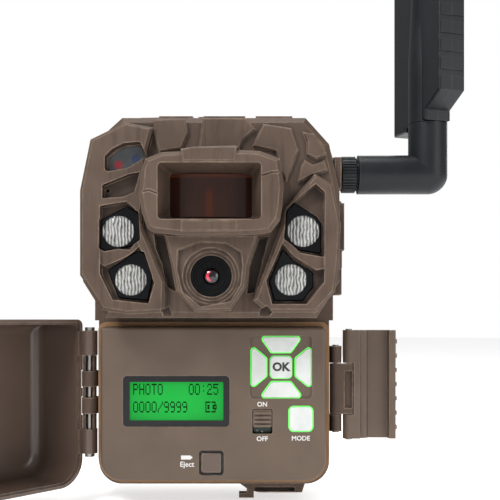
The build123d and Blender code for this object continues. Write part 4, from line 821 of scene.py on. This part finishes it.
def run_tree(name, base, tree, values, move=None):
    """Run a tree on a base mesh and return the plain result, placed by move."""
    holder = bpy.data.objects.new(name + "_base", base)
    bpy.context.scene.collection.objects.link(holder)
    modifier = holder.modifiers.new("shape", "NODES")
    modifier.node_group = tree
    for item in tree.interface.items_tree:
        if item.in_out == "INPUT" and item.name in values:
            modifier[item.identifier] = values[item.name]
    ready = holder.evaluated_get(bpy.context.evaluated_depsgraph_get())
    mesh = bpy.data.meshes.new_from_object(ready)
    holder.modifiers.remove(modifier)
    bpy.data.objects.remove(holder)
    mesh.name = name
    if move is not None:
        mesh.transform(move)
    obj = bpy.data.objects.new(name, mesh)
    bpy.context.scene.collection.objects.link(obj)
    return obj


def base_mesh(name, bm):
    """Turn mesh code into a plain mesh, with no object yet."""
    mesh = bpy.data.meshes.new(name)
    bm.to_mesh(mesh)
    bm.free()
    return mesh


MATERIAL = ("NodeSocketMaterial", None)
NUMBER = "NodeSocketFloat"
WHOLE = "NodeSocketInt"
print("helpers for node trees are ready")

# %% [markdown]
# ## Ribbed light lenses
# Each infrared lamp sits behind a clear lens whose face is pressed into upright, slightly wavy
# ribs that spread the beam. The ribs are a sine wave added to a fine disc. Doing this in a node
# tree keeps the rib width and height as two plain numbers.

# %% Rib tree
rib_tree, rib_in, rib_out = node_tree("pressed ribs", {
    "Rib Width": (NUMBER, 0.001), "Rib Height": (NUMBER, 0.0003), "Wobble": (NUMBER, 0.0004),
    "Seed": (NUMBER, 3.0), "Face": (NUMBER, 0.0), "Material": MATERIAL})


def tree_math(tree, operation, *values):
    """A Math node in a Geometry Nodes tree, from sockets or plain numbers."""
    node = tree.nodes.new("ShaderNodeMath")
    node.operation = operation
    for place, value in enumerate(values):
        if isinstance(value, (int, float)):
            node.inputs[place].default_value = value
        else:
            tree.links.new(value, node.inputs[place])
    return node.outputs[0]


where = rib_tree.nodes.new("GeometryNodeInputPosition")
axes = rib_tree.nodes.new("ShaderNodeSeparateXYZ")
rib_tree.links.new(where.outputs[0], axes.inputs[0])
wave_noise = rib_tree.nodes.new("ShaderNodeTexNoise")
wave_noise.noise_dimensions = "4D"
wave_noise.inputs["Scale"].default_value = 320.0
rib_tree.links.new(where.outputs[0], wave_noise.inputs["Vector"])
rib_tree.links.new(rib_in.outputs["Seed"], wave_noise.inputs["W"])
sway = tree_math(rib_tree, "MULTIPLY", wave_noise.outputs["Fac"], rib_in.outputs["Wobble"])
across = tree_math(rib_tree, "ADD", axes.outputs["X"], sway)
turns = tree_math(rib_tree, "DIVIDE", across, rib_in.outputs["Rib Width"])
wave = tree_math(rib_tree, "SINE", tree_math(rib_tree, "MULTIPLY", turns, 2 * math.pi))
half_rib = tree_math(rib_tree, "MULTIPLY", rib_in.outputs["Rib Height"], -0.5)
rise = tree_math(rib_tree, "MULTIPLY", wave, half_rib)
offset = rib_tree.nodes.new("ShaderNodeCombineXYZ")
rib_tree.links.new(rise, offset.inputs["Y"])
on_face = rib_tree.nodes.new("FunctionNodeCompare")
on_face.operation = "LESS_THAN"
rib_tree.links.new(axes.outputs["Y"], on_face.inputs["A"])
rib_tree.links.new(rib_in.outputs["Face"], on_face.inputs["B"])
shift = rib_tree.nodes.new("GeometryNodeSetPosition")
rib_tree.links.new(rib_in.outputs["Geometry"], shift.inputs["Geometry"])
rib_tree.links.new(on_face.outputs[0], shift.inputs["Selection"])
rib_tree.links.new(offset.outputs[0], shift.inputs["Offset"])
close_tree(rib_tree, shift.outputs["Geometry"], rib_in, rib_out)
print("tree:", rib_tree.name)


# %% [markdown]
# A lens and its cup are both turned shapes: a profile of radius and depth, spun about an axis.
# The same helper later turns the antenna's nut and the rings in the lens barrel.

# %% Turned shapes
def turned(profile, segments=64):
    """A solid turned about the Y axis from (radius, y) points that start and end on the axis."""
    bm = bmesh.new()
    rings = []
    for radius, y in profile:
        if radius < 1e-7:
            rings.append([bm.verts.new((0, y, 0))])
            continue
        ring = []
        for step in range(segments):
            angle = 2 * math.pi * step / segments
            ring.append(bm.verts.new((radius * math.cos(angle), y, radius * math.sin(angle))))
        rings.append(ring)
    for near, far in zip(rings, rings[1:]):
        for step in range(segments):
            after = (step + 1) % segments
            corners = [near[step % len(near)], near[after % len(near)],
                       far[after % len(far)], far[step % len(far)]]
            unique = list(dict.fromkeys(corners))
            if len(unique) > 2:
                bm.faces.new(unique)
    bmesh.ops.recalc_face_normals(bm, faces=bm.faces)
    return bm


def closed_ring(profile, segments, weld):
    """A turned ring whose profile ends where it starts, welded shut there."""
    bm = turned(profile, segments)
    bmesh.ops.remove_doubles(bm, verts=bm.verts, dist=weld)
    bmesh.ops.recalc_face_normals(bm, faces=bm.faces)
    return bm


print("turning helpers are ready")

# %% Light lenses and their cups
LENS_RINGS, LENS_SEGMENTS = 34, 96
LENS_CROWN, LENS_THICKNESS = 0.8 * MM, 1.2 * MM
CUP_SEGMENTS, CUP_BEHIND = 24, 2.1 * MM
reflector = metal("vacuum plated reflector", (0.62, 0.62, 0.60), (0.82, 0.82, 0.80), 0.18,
                  stretch=(1.0, 1.0, 1.0))
for seed, place_name in enumerate(("left_upper", "right_upper", "left_lower", "right_lower")):
    centre, size, lo, hi = middle("led_lens_" + place_name)
    radius = size.x / 2
    crowned = [(radius * 0.99 * step / LENS_RINGS, -LENS_CROWN * (1 - (step / LENS_RINGS) ** 2))
               for step in range(LENS_RINGS)]
    edge_and_back = [(radius * 0.995, 0.0), (radius * 0.995, LENS_THICKNESS), (0.0, LENS_THICKNESS)]
    blank = base_mesh("lens_body", turned(crowned + edge_and_back, LENS_SEGMENTS))
    lens = run_tree("ribbed_lens_" + place_name, blank, rib_tree,
                    {"Rib Width": 1.15 * MM, "Rib Height": 0.42 * MM, "Wobble": 0.7 * MM, "Seed": 3.0 + seed,
                     "Face": 0.02 * MM, "Material": ribbed_clear_painted_crests},
                    Matrix.Translation((centre.x, lo.y + LENS_CROWN, centre.z)))
    lens.data.shade_smooth()
    finish_piece(lens, ribbed_clear_painted_crests, instead_of="led_lens_" + place_name)
    deep = hi.y - lo.y
    cup = closed_ring([(radius * 0.96, 0.0), (radius * 0.80, 0.35 * deep), (radius * 0.46, 0.86 * deep),
                       (radius * 0.40, 0.86 * deep), (radius * 0.78, 0.34 * deep), (radius * 0.90, 0.0),
                       (radius * 0.96, 0.0)], CUP_SEGMENTS, 1e-6)
    cup_object = mesh_object("lamp_cup_" + place_name, cup)
    cup_object.data.transform(Matrix.Translation((centre.x, lo.y + CUP_BEHIND, centre.z)))
    finish_piece(cup_object, reflector)

# %% [markdown]
# ## Bark plates on the roof and the sides
# The case is disguised as tree bark: its walls carry thin, broken plates with cracks between
# them. A grid whose points are pushed about by a seeded random vector gives the broken
# outlines. Each face is then shrunk, which opens the cracks, and raised with narrower tops.

# %% Bark tree
bark_tree, bark_in, bark_out = node_tree("bark plates", {
    "Length": (NUMBER, 0.06), "Width": (NUMBER, 0.02), "Columns": (WHOLE, 6), "Rows": (WHOLE, 3),
    "Jitter": (NUMBER, 0.002), "Gap": (NUMBER, 0.08), "Height": (NUMBER, 0.001), "Seed": (WHOLE, 1),
    "Material": MATERIAL})
grid = bark_tree.nodes.new("GeometryNodeMeshGrid")
for label, source in (("Size X", "Length"), ("Size Y", "Width"),
                      ("Vertices X", "Columns"), ("Vertices Y", "Rows")):
    bark_tree.links.new(bark_in.outputs[source], grid.inputs[label])
push = bark_tree.nodes.new("FunctionNodeRandomValue")
push.data_type = "FLOAT_VECTOR"
back = tree_math(bark_tree, "MULTIPLY", bark_in.outputs["Jitter"], -1.0)
for socket, value in ((push.inputs[0], back), (push.inputs[1], bark_in.outputs["Jitter"])):
    sideways = bark_tree.nodes.new("ShaderNodeCombineXYZ")
    bark_tree.links.new(value, sideways.inputs["X"])
    bark_tree.links.new(value, sideways.inputs["Y"])
    bark_tree.links.new(sideways.outputs[0], socket)
bark_tree.links.new(bark_in.outputs["Seed"], push.inputs["Seed"])
broken = bark_tree.nodes.new("GeometryNodeSetPosition")
bark_tree.links.new(grid.outputs["Mesh"], broken.inputs["Geometry"])
bark_tree.links.new(push.outputs[0], broken.inputs["Offset"])
split = bark_tree.nodes.new("GeometryNodeSplitEdges")
bark_tree.links.new(broken.outputs["Geometry"], split.inputs["Mesh"])
shrink = bark_tree.nodes.new("GeometryNodeScaleElements")
bark_tree.links.new(split.outputs["Mesh"], shrink.inputs["Geometry"])
bark_tree.links.new(tree_math(bark_tree, "SUBTRACT", 1.0, bark_in.outputs["Gap"]), shrink.inputs["Scale"])
share = bark_tree.nodes.new("FunctionNodeRandomValue")
share.inputs[2].default_value = 0.55
share.inputs[3].default_value = 1.0
bark_tree.links.new(bark_in.outputs["Seed"], share.inputs["Seed"])
tall = tree_math(bark_tree, "MULTIPLY", bark_in.outputs["Height"], share.outputs[1])
raise_plate = bark_tree.nodes.new("GeometryNodeExtrudeMesh")
bark_tree.links.new(shrink.outputs["Geometry"], raise_plate.inputs["Mesh"])
bark_tree.links.new(tall, raise_plate.inputs["Offset Scale"])
narrow = bark_tree.nodes.new("GeometryNodeScaleElements")
narrow.inputs["Scale"].default_value = 0.86
bark_tree.links.new(raise_plate.outputs["Mesh"], narrow.inputs["Geometry"])
bark_tree.links.new(raise_plate.outputs["Top"], narrow.inputs["Selection"])
under = bark_tree.nodes.new("GeometryNodeFlipFaces")
bark_tree.links.new(shrink.outputs["Geometry"], under.inputs["Mesh"])
both = bark_tree.nodes.new("GeometryNodeJoinGeometry")
bark_tree.links.new(under.outputs["Mesh"], both.inputs["Geometry"])
bark_tree.links.new(narrow.outputs["Geometry"], both.inputs["Geometry"])
weld = bark_tree.nodes.new("GeometryNodeMergeByDistance")
weld.inputs["Distance"].default_value = 1e-6
bark_tree.links.new(both.outputs["Geometry"], weld.inputs["Geometry"])
close_tree(bark_tree, weld.outputs["Geometry"], bark_in, bark_out)
print("tree:", bark_tree.name)

# %% [markdown]
# The plates lie on three flat walls of the upper housing, between its face and its seam. Each
# field of plates is sunk a little into its wall, so that nothing floats.

# %% Lay the plates
HALF_WIDTH, ROOF = 49.0 * MM, 76.4 * MM
FACE_Y, SEAM_Y = -65.5 * MM, -38.0 * MM
SUNK = 0.2 * MM
SIDE_HEIGHT = 32 * MM


def bark(name, length, width, columns, rows, seed, place, rotation, height=1.3):
    """One field of bark plates, laid at place; height is the tallest plate in millimetres."""
    move = Matrix.Translation(place) @ rotation.to_4x4()
    piece = run_tree(name, base_mesh("seedling", bmesh.new()), bark_tree,
                     {"Length": length, "Width": width, "Columns": columns, "Rows": rows, "Jitter": 1.5 * MM,
                      "Gap": 0.07, "Height": height * MM, "Seed": seed, "Material": brown_shell}, move)
    return finish_piece(piece, brown_shell)


to_right = Matrix.Rotation(math.radians(90), 3, "Y")
to_left = Matrix.Rotation(math.radians(-90), 3, "Y")
middle_y = (FACE_Y + SEAM_Y) / 2
bark("roof_bark", 60 * MM, 20 * MM, 6, 3, 4, (1 * MM, middle_y, ROOF - SUNK), Matrix.Identity(3))
bark("right_bark", 28 * MM, 20 * MM, 4, 3, 11, (HALF_WIDTH - SUNK, middle_y, SIDE_HEIGHT), to_right, 1.5)
bark("left_bark", 28 * MM, 20 * MM, 4, 3, 7, (-HALF_WIDTH + SUNK, middle_y, SIDE_HEIGHT), to_left, 1.5)
print("bark plates laid on the roof and both sides")

# %% [markdown]
# ## The knurled antenna nut
# The nut that holds the antenna is turned by hand, so its rim is knurled. One small rib is
# repeated round a circle of points, each turned to face outwards.

# %% Knurl tree
knurl_tree, knurl_in, knurl_out = node_tree("ring of ribs", {
    "Count": (WHOLE, 36), "Radius": (NUMBER, 0.007), "Rib Width": (NUMBER, 0.0007),
    "Rib Length": (NUMBER, 0.005), "Rib Height": (NUMBER, 0.0006), "Material": MATERIAL})
ring = knurl_tree.nodes.new("GeometryNodeMeshCircle")
knurl_tree.links.new(knurl_in.outputs["Count"], ring.inputs["Vertices"])
knurl_tree.links.new(knurl_in.outputs["Radius"], ring.inputs["Radius"])
rib_size = knurl_tree.nodes.new("ShaderNodeCombineXYZ")
for axis, label in (("X", "Rib Height"), ("Y", "Rib Width"), ("Z", "Rib Length")):
    knurl_tree.links.new(knurl_in.outputs[label], rib_size.inputs[axis])
bar = knurl_tree.nodes.new("GeometryNodeMeshCube")
knurl_tree.links.new(rib_size.outputs[0], bar.inputs["Size"])
outward = knurl_tree.nodes.new("GeometryNodeInputPosition")
facing = knurl_tree.nodes.new("FunctionNodeAlignRotationToVector")
facing.axis = "X"
facing.pivot_axis = "Z"
knurl_tree.links.new(outward.outputs[0], facing.inputs["Vector"])
repeat = knurl_tree.nodes.new("GeometryNodeInstanceOnPoints")
knurl_tree.links.new(ring.outputs["Mesh"], repeat.inputs["Points"])
knurl_tree.links.new(bar.outputs["Mesh"], repeat.inputs["Instance"])
knurl_tree.links.new(facing.outputs["Rotation"], repeat.inputs["Rotation"])
gather = knurl_tree.nodes.new("GeometryNodeJoinGeometry")
knurl_tree.links.new(knurl_in.outputs["Geometry"], gather.inputs["Geometry"])
knurl_tree.links.new(repeat.outputs["Instances"], gather.inputs["Geometry"])
close_tree(knurl_tree, gather.outputs["Geometry"], knurl_in, knurl_out)
print("tree:", knurl_tree.name)

# %% [markdown]
# The nut's body is a turned ring with a narrow threaded hole at one end and a wide one at the
# other, where the antenna's neck turns inside it.

# %% Knurled nut
KNURLS, NUT_SEGMENTS = 36, 72
CHAMFER, BACK_CHAMFER = 0.5 * MM, 0.3 * MM
centre, size, _, _ = middle("antenna_collar")
nut_radius = size.z / 2
nut_length = size.x
front_end, back_end = -nut_length / 2, nut_length / 2
hole = nut_radius - 1.1 * MM
small_hole = 3.2 * MM
stop = front_end + 3.7 * MM
rim = nut_radius - 0.55 * MM
profile = [(small_hole, front_end), (rim - CHAMFER, front_end), (rim, front_end + CHAMFER),
           (rim, back_end - CHAMFER), (rim - BACK_CHAMFER, back_end), (hole, back_end),
           (hole, stop), (small_hole, stop), (small_hole, front_end)]
nut = closed_ring(profile, NUT_SEGMENTS, 1e-6)
nut.transform(Matrix.Rotation(math.radians(90), 4, "X"))
knurled = run_tree("knurled_nut", base_mesh("nut_body", nut), knurl_tree,
                   {"Count": KNURLS, "Radius": rim + 0.1 * MM, "Rib Width": 0.66 * MM,
                    "Rib Length": nut_length - 1.2 * MM, "Rib Height": 0.9 * MM, "Material": charcoal},
                   Matrix.Translation(centre) @ Matrix.Rotation(math.radians(90), 4, "Y"))
finish_piece(knurled, charcoal, body="antenna_collar", instead_of="antenna_collar")
print("knurled nut:", len(knurled.data.polygons), "faces")

# %% [markdown]
# ## Key light rims
# Light leaks round every key. Each rim is a thin lit band that follows the key's own outline,
# found as the hull of its front corners and grown outwards by a fraction of a millimetre.

# %% Outline of a key
def front_outline(node):
    """The convex outline of a solid's front, as (x, z) points in order."""
    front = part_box(node)[0].y
    points = sorted({(round(v.co.x, 6), round(v.co.z, 6)) for v in nodes[node].data.vertices
                     if v.co.y < front + 0.5 * MM})

    def turn_of(a, b, c):
        """Above nothing where the way from a to b to c turns left."""
        return (b[0] - a[0]) * (c[1] - a[1]) - (b[1] - a[1]) * (c[0] - a[0])

    hull = []
    for run in (points, points[::-1]):
        part = []
        for point in run:
            while len(part) > 1 and turn_of(part[-2], part[-1], point) <= 0:
                part.pop()
            part.append(point)
        hull += part[:-1]
    return hull


def grown(points, amount):
    """Push a convex outline outwards."""
    result = []
    for before, here, after in zip(points[-1:] + points[:-1], points, points[1:] + points[:1]):
        one = Vector((here[1] - before[1], before[0] - here[0])).normalized()
        two = Vector((after[1] - here[1], here[0] - after[0])).normalized()
        way = (one + two).normalized()
        reach = amount / max(0.5, way.dot(one))
        result.append((here[0] + way.x * reach, here[1] + way.y * reach))
    return result


def band(name, inner, outer, near, far):
    """A closed band between two outlines of the same length."""
    bm = bmesh.new()
    loops = [[bm.verts.new((x, y, z)) for x, z in points] for points, y in
             ((inner, near), (outer, near), (outer, far), (inner, far))]
    for one, two in zip(loops, loops[1:] + loops[:1]):
        for step in range(len(one)):
            after = (step + 1) % len(one)
            bm.faces.new((one[step], one[after], two[after], two[step]))
    bmesh.ops.recalc_face_normals(bm, faces=bm.faces)
    return mesh_object(name, bm)


print("outline helpers are ready")

# %% Green light finish and the rims
def light_leak():
    """Green light in the gap round a key, a little brighter in some places than in others."""
    material, tree, shader = new_finish("green light leak")
    haze = noise(tree, object_place(tree), 260.0, 3.0)
    colour = mix_colour(tree, haze, (0.02, 0.72, 0.02), (0.10, 1.0, 0.08))
    tree.links.new(colour, shader.inputs["Base Color"])
    tree.links.new(colour, shader.inputs["Emission Color"])
    shader.inputs["Emission Strength"].default_value = 0.7
    tree.links.new(spread(tree, haze, 0.0, 1.0, 0.4, 0.6), shader.inputs["Roughness"])
    return material


KEYS = ("key_up", "key_down", "key_left", "key_right", "key_mode", "key_enter")
KEY_RECESS = 0.6 * MM
RIM_GAP, RIM_WIDE, RIM_NARROW = 0.06 * MM, 0.36 * MM, 0.22 * MM
green_leak = light_leak()
panel_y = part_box("control_panel")[0].y
for key in KEYS:
    line = front_outline(key)
    floor_y = panel_y + (0.0 if key == "key_mode" else KEY_RECESS)
    wide = RIM_NARROW if key == "key_enter" else RIM_WIDE
    rim_piece = band("light_rim_" + key, grown(line, RIM_GAP), grown(line, wide),
                     floor_y - 0.10 * MM, floor_y - 0.02 * MM)
    finish_piece(rim_piece, green_leak)
print("lit rims:", len(KEYS))

# %% [markdown]
# ## The display
# A liquid crystal display draws with small dots. Every lit dot is one point, taken from a little
# five by seven alphabet, and a node tree puts a tile on each point.

# %% Dot alphabet
DOTS = {
    "P": "11110 10001 10001 11110 10000 10000 10000", "H": "10001 10001 10001 11111 10001 10001 10001",
    "O": "01110 10001 10001 10001 10001 10001 01110", "T": "11111 00100 00100 00100 00100 00100 00100",
    "0": "01110 10001 10001 10001 10001 10001 01110", "2": "01110 10001 00001 00110 01000 10000 11111",
    "5": "11111 10000 11110 00001 00001 10001 01110", "9": "01110 10001 10001 01111 00001 00001 01110",
    ":": "00000 00100 00000 00000 00100 00000 00000", "/": "00001 00001 00010 00100 01000 10000 10000",
    "[": "11111 10000 10110 10110 10110 10000 11111", "]": "11110 00010 01111 01101 01111 00010 11110",
}
DOT_WIDE, DOT_TALL = 0.41 * MM, 0.64 * MM
LETTER_STEP = 6     # five dots and a gap


def dots_for(text, left, top):
    """The places of the lit dots of some text, from its top left corner."""
    points = []
    for place, letter in enumerate(text):
        for row, line in enumerate(DOTS[letter].split()):
            for column, lit in enumerate(line):
                if lit == "1":
                    across = (place * LETTER_STEP + column) * DOT_WIDE
                    points.append((left + across, 0.0, top - row * DOT_TALL))
    return points


print("alphabet:", len(DOTS), "signs")

# %% Tile tree
tile_tree, tile_in, tile_out = node_tree("display tiles", {
    "Tile Width": (NUMBER, 0.0004), "Tile Height": (NUMBER, 0.0006), "Thickness": (NUMBER, 0.00004),
    "Material": MATERIAL})
tile_size = tile_tree.nodes.new("ShaderNodeCombineXYZ")
for axis, label in (("X", "Tile Width"), ("Y", "Thickness"), ("Z", "Tile Height")):
    tile_tree.links.new(tile_in.outputs[label], tile_size.inputs[axis])
tile = tile_tree.nodes.new("GeometryNodeMeshCube")
tile_tree.links.new(tile_size.outputs[0], tile.inputs["Size"])
lay = tile_tree.nodes.new("GeometryNodeInstanceOnPoints")
tile_tree.links.new(tile_in.outputs["Geometry"], lay.inputs["Points"])
tile_tree.links.new(tile.outputs["Mesh"], lay.inputs["Instance"])
close_tree(tile_tree, lay.outputs["Instances"], tile_in, tile_out)
print("tree:", tile_tree.name)

# %% Characters on the display
crystal = moulded("dark crystal", (0.001, 0.010, 0.002), (0.002, 0.016, 0.003), (0.003, 0.02, 0.004),
                  (0.001, 0.008, 0.001), 0.6, grain=3000.0, edge_wear_highlight_weight=0.1, shine=0.05)
TILE_SHARE = 0.94
left_column = display_low.x + 2.8 * MM
clock_column = display_high.x - 14.9 * MM
cell_column = display_high.x - 8.2 * MM
row_one = display_high.z - 2.2 * MM
row_two = row_one - 7.1 * MM
dots = bmesh.new()
for text, column_x, row_z in (("PHOTO", left_column, row_one), ("00:25", clock_column, row_one),
                              ("0000/9999", left_column, row_two), ("[]", cell_column, row_two)):
    for point in dots_for(text, column_x, row_z):
        dots.verts.new(point)
characters = run_tree("display_characters", base_mesh("dots", dots), tile_tree,
                      {"Tile Width": DOT_WIDE * TILE_SHARE, "Tile Height": DOT_TALL * TILE_SHARE,
                       "Thickness": 0.04 * MM, "Material": crystal},
                      Matrix.Translation((0, display_low.y - 0.03 * MM, 0)))
finish_piece(characters, crystal)
print("display dots:", len(characters.data.polygons) // 6)

# %% [markdown]
# ## Printed marks
# The panel carries a few plain printed words. A text object is a curve, so it is turned into a
# mesh first and only then moved to its place. Heights and places are in millimetres, across
# and up from the middle of the line between the housing and the panel.

# %% Printed words
white_ink = moulded("white panel ink", (0.62, 0.61, 0.59), (0.74, 0.73, 0.71), (0.8, 0.8, 0.8),
                    (0.3, 0.3, 0.3), 0.6, grain=3000.0, edge_wear_highlight_weight=0.1)
black_ink = moulded("black key ink", (0.015, 0.015, 0.015), (0.03, 0.03, 0.03), (0.05, 0.05, 0.05),
                    (0.01, 0.01, 0.01), 0.5, grain=3000.0, edge_wear_highlight_weight=0.1)


def printed(name, words, height, x, z, y, ink, body="camera_body", bold=0.05):
    """Some words in ink, as a thin mesh on an upright face at depth y."""
    curve = bpy.data.curves.new(name, "FONT")
    curve.body = words
    curve.size = height * MM
    curve.align_x = "CENTER"
    curve.align_y = "CENTER"
    curve.extrude = 0.02 * MM
    curve.offset = bold * MM
    curve.resolution_u = 3
    holder = bpy.data.objects.new(name + "_curve", curve)
    bpy.context.scene.collection.objects.link(holder)
    mesh = bpy.data.meshes.new_from_object(holder.evaluated_get(bpy.context.evaluated_depsgraph_get()))
    bpy.data.objects.remove(holder)
    mesh.name = name
    mesh.transform(Matrix.Translation((x * MM, y, z * MM)) @ Matrix.Rotation(math.radians(90), 4, "X"))
    obj = bpy.data.objects.new(name, mesh)
    bpy.context.scene.collection.objects.link(obj)
    return finish_piece(obj, ink, body=body)


INK_RISE = 0.015 * MM
face_print = panel_y - INK_RISE
printed("mark_on", "ON", 2.6, 19.7, -34.6, face_print, white_ink)
printed("mark_off", "OFF", 2.6, 19.7, -48.4, face_print, white_ink)
printed("mark_mode", "MODE", 2.6, 35.1, -48.2, face_print, white_ink)
printed("mark_release", "Eject", 2.9, -10.4, -58.6, face_print, white_ink)
key_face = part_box("key_enter")[0].y
printed("mark_ok", "OK", 4.6, 27.2, -19.7, key_face - INK_RISE, black_ink, body="key_enter", bold=0.2)

print("printed words: ON, OFF, MODE, Eject and OK")

# %% [markdown]
# A small sign of a battery stands over the word beside the release button: one long bar for the
# cell and one short bar for its cap, as (left, right, bottom, top).

# %% Battery sign
cell_mark = bmesh.new()
for x0, x1, z0, z1 in ((-12.8, -8.9, -56.6, -55.0), (-8.9, -8.3, -56.2, -55.4)):
    to_place = Matrix.Translation(((x0 + x1) / 2 * MM, face_print, (z0 + z1) / 2 * MM))
    to_size = Matrix.Diagonal(((x1 - x0) * MM, 0.04 * MM, (z1 - z0) * MM, 1))
    bmesh.ops.create_cube(cell_mark, size=1.0, matrix=to_place @ to_size)
finish_piece(mesh_object("mark_cell", cell_mark), white_ink)
print("battery sign:", 2, "bars")

# %% [markdown]
# ## Small black rings
# A black ring fills the recess round the release button and stands for the shade in that gap,
# and the lens has fine rings in its throat that stop stray light. Both are turned or outlined
# from the solids that they touch.

# %% Black ring in the button's recess, painted shade
line = front_outline("eject_button")
# painted shade: a black ring laid in the recess round the release button stands for the shade in that gap
recess_shade_ring = band("button_recess_shade_ring", grown(line, 0.30 * MM), grown(line, 0.85 * MM),
                panel_y + 0.05 * MM, panel_y + 0.52 * MM)
finish_piece(recess_shade_ring, black_gloss)
print("surround:", len(recess_shade_ring.data.polygons), "faces")

# %% Lens baffles
BAFFLES, BAFFLE_WIDE, BAFFLE_DEEP = 5, 0.14 * MM, 0.16 * MM
INNER_BAFFLE, BAFFLE_STEP = 4.05 * MM, 0.62 * MM
centre, _, lo, _ = middle("lens_barrel")
baffles = bmesh.new()
for step in range(BAFFLES):
    radius = INNER_BAFFLE + step * BAFFLE_STEP
    y = lo.y + (1.72 - step * 0.32) * MM
    baffle = closed_ring([(radius, y - BAFFLE_DEEP), (radius + BAFFLE_WIDE, y - BAFFLE_DEEP),
                          (radius + BAFFLE_WIDE, y), (radius, y), (radius, y - BAFFLE_DEEP)], 64, 1e-7)
    loose = base_mesh("baffle", baffle)
    baffles.from_mesh(loose)
    bpy.data.meshes.remove(loose)
bmesh.ops.translate(baffles, verts=baffles.verts, vec=(centre.x, 0, centre.z))
finish_piece(mesh_object("lens_baffles", baffles), black_gloss)
print("baffles:", BAFFLES)

# %% [markdown]
# ## Hinge channels
# Between the knuckles of the door's hinge the pin runs in a moulded channel that is open at the
# front, so a short length of steel shows in a brown frame. Each channel is one C-shaped
# section drawn upwards. It shares the pin's centre line, so the door turns round it freely.

# %% Hinge channels
CHANNEL_OUTSIDE, CHANNEL_INSIDE = 0.00285, 0.0018
CHANNEL_OPENING = math.radians(48)
CHANNEL_STEPS = 28
CHANNEL_HEIGHTS = ((-0.0218, -0.0154), (-0.0326, -0.0278), (-0.0450, -0.0388))
pin_low, pin_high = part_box("hinge_pin")
pin_x, pin_y = (pin_low.x + pin_high.x) / 2, (pin_low.y + pin_high.y) / 2
first_angle = -math.pi / 2 + CHANNEL_OPENING
last_angle = 3 * math.pi / 2 - CHANNEL_OPENING
bm = bmesh.new()
for bottom, top in CHANNEL_HEIGHTS:
    levels = []
    for z in (bottom, top):
        section = []
        for step in range(CHANNEL_STEPS + 1):
            angle = first_angle + (last_angle - first_angle) * step / CHANNEL_STEPS
            way_x, way_y = math.cos(angle), math.sin(angle)
            section.append([bm.verts.new((pin_x + radius * way_x, pin_y + radius * way_y, z))
                            for radius in (CHANNEL_OUTSIDE, CHANNEL_INSIDE)])
        levels.append(section)
    under, over = levels
    for step in range(CHANNEL_STEPS):
        here, there = step, step + 1
        bm.faces.new((under[here][0], under[there][0], over[there][0], over[here][0]))
        bm.faces.new((under[there][1], under[here][1], over[here][1], over[there][1]))
        bm.faces.new((over[here][0], over[there][0], over[there][1], over[here][1]))
        bm.faces.new((under[there][0], under[here][0], under[here][1], under[there][1]))
    for end in (0, CHANNEL_STEPS):
        bm.faces.new((under[end][0], over[end][0], over[end][1], under[end][1]))
bmesh.ops.recalc_face_normals(bm, faces=bm.faces)
finish_piece(mesh_object("hinge_channels", bm), brown_shell)
print("hinge channels:", len(CHANNEL_HEIGHTS))

# %% [markdown]
# ## Finishes on the solids
# Each solid keeps its exact shape and gets its finish in its own material slot.

# %% Dress the solids
finishes = {
    brown_shell: ["front_shell", "rear_shell", "window_hood", "lens_shield", "latch_link", "battery_tray"],
    panel_brown_lightened: ["control_panel", "power_knob", "latch_lever"],
    door_brown: ["door_shell"],
    button_brown: ["eject_button"],
    charcoal: ["antenna_blade_left", "antenna_blade_right", "antenna_elbow", "antenna_bush", "antenna_collar",
               "lens_holder"],
    black_gloss: ["led_bezel_left_upper", "led_bezel_right_upper", "led_bezel_left_lower",
                  "led_bezel_right_lower", "display_bezel", "image_sensor"],
    lens_black: ["lens_barrel"],
    clear_acrylic: ["led_lens_left_upper", "led_lens_right_upper",
                    "led_lens_left_lower", "led_lens_right_lower"],
    amber_window: ["pir_window"],
    smoke_window: ["status_window"],
    coated_glass: ["lens_glass"],
    filter_glass: ["ir_cut_filter"],
    seal_tan: ["door_gasket"],
    seal_black: ["shell_seal"],
    lead_black: ["antenna_lead"],
    milky_key: ["key_up", "key_down", "key_left", "key_right", "key_enter", "key_mode", "keypad_membrane"],
    display_green: ["display_module"],
    indicator_lamps: ["status_lights"],
    board_green: ["led_boards", "main_board", "control_board"],
    shield_can: ["modem_module", "motion_sensor"],
    card_label: ["memory_card"],
    chip_phosphor: ["led_chips"],
    steel: ["case_screws", "battery_contacts", "antenna_strip"],
    dull_shaded_pin: ["hinge_pin", "latch_body_pin", "latch_lever_pin"],
    brass: ["mount_insert", "antenna_connector"],
    cell_jacket: ["batteries"],
}
dressed = 0
for finish, names in finishes.items():
    for name in names:
        for place in nodes[name].material_slots:
            place.material = finish
        dressed += 1
print("dressed", dressed, "of", len(nodes), "solids")
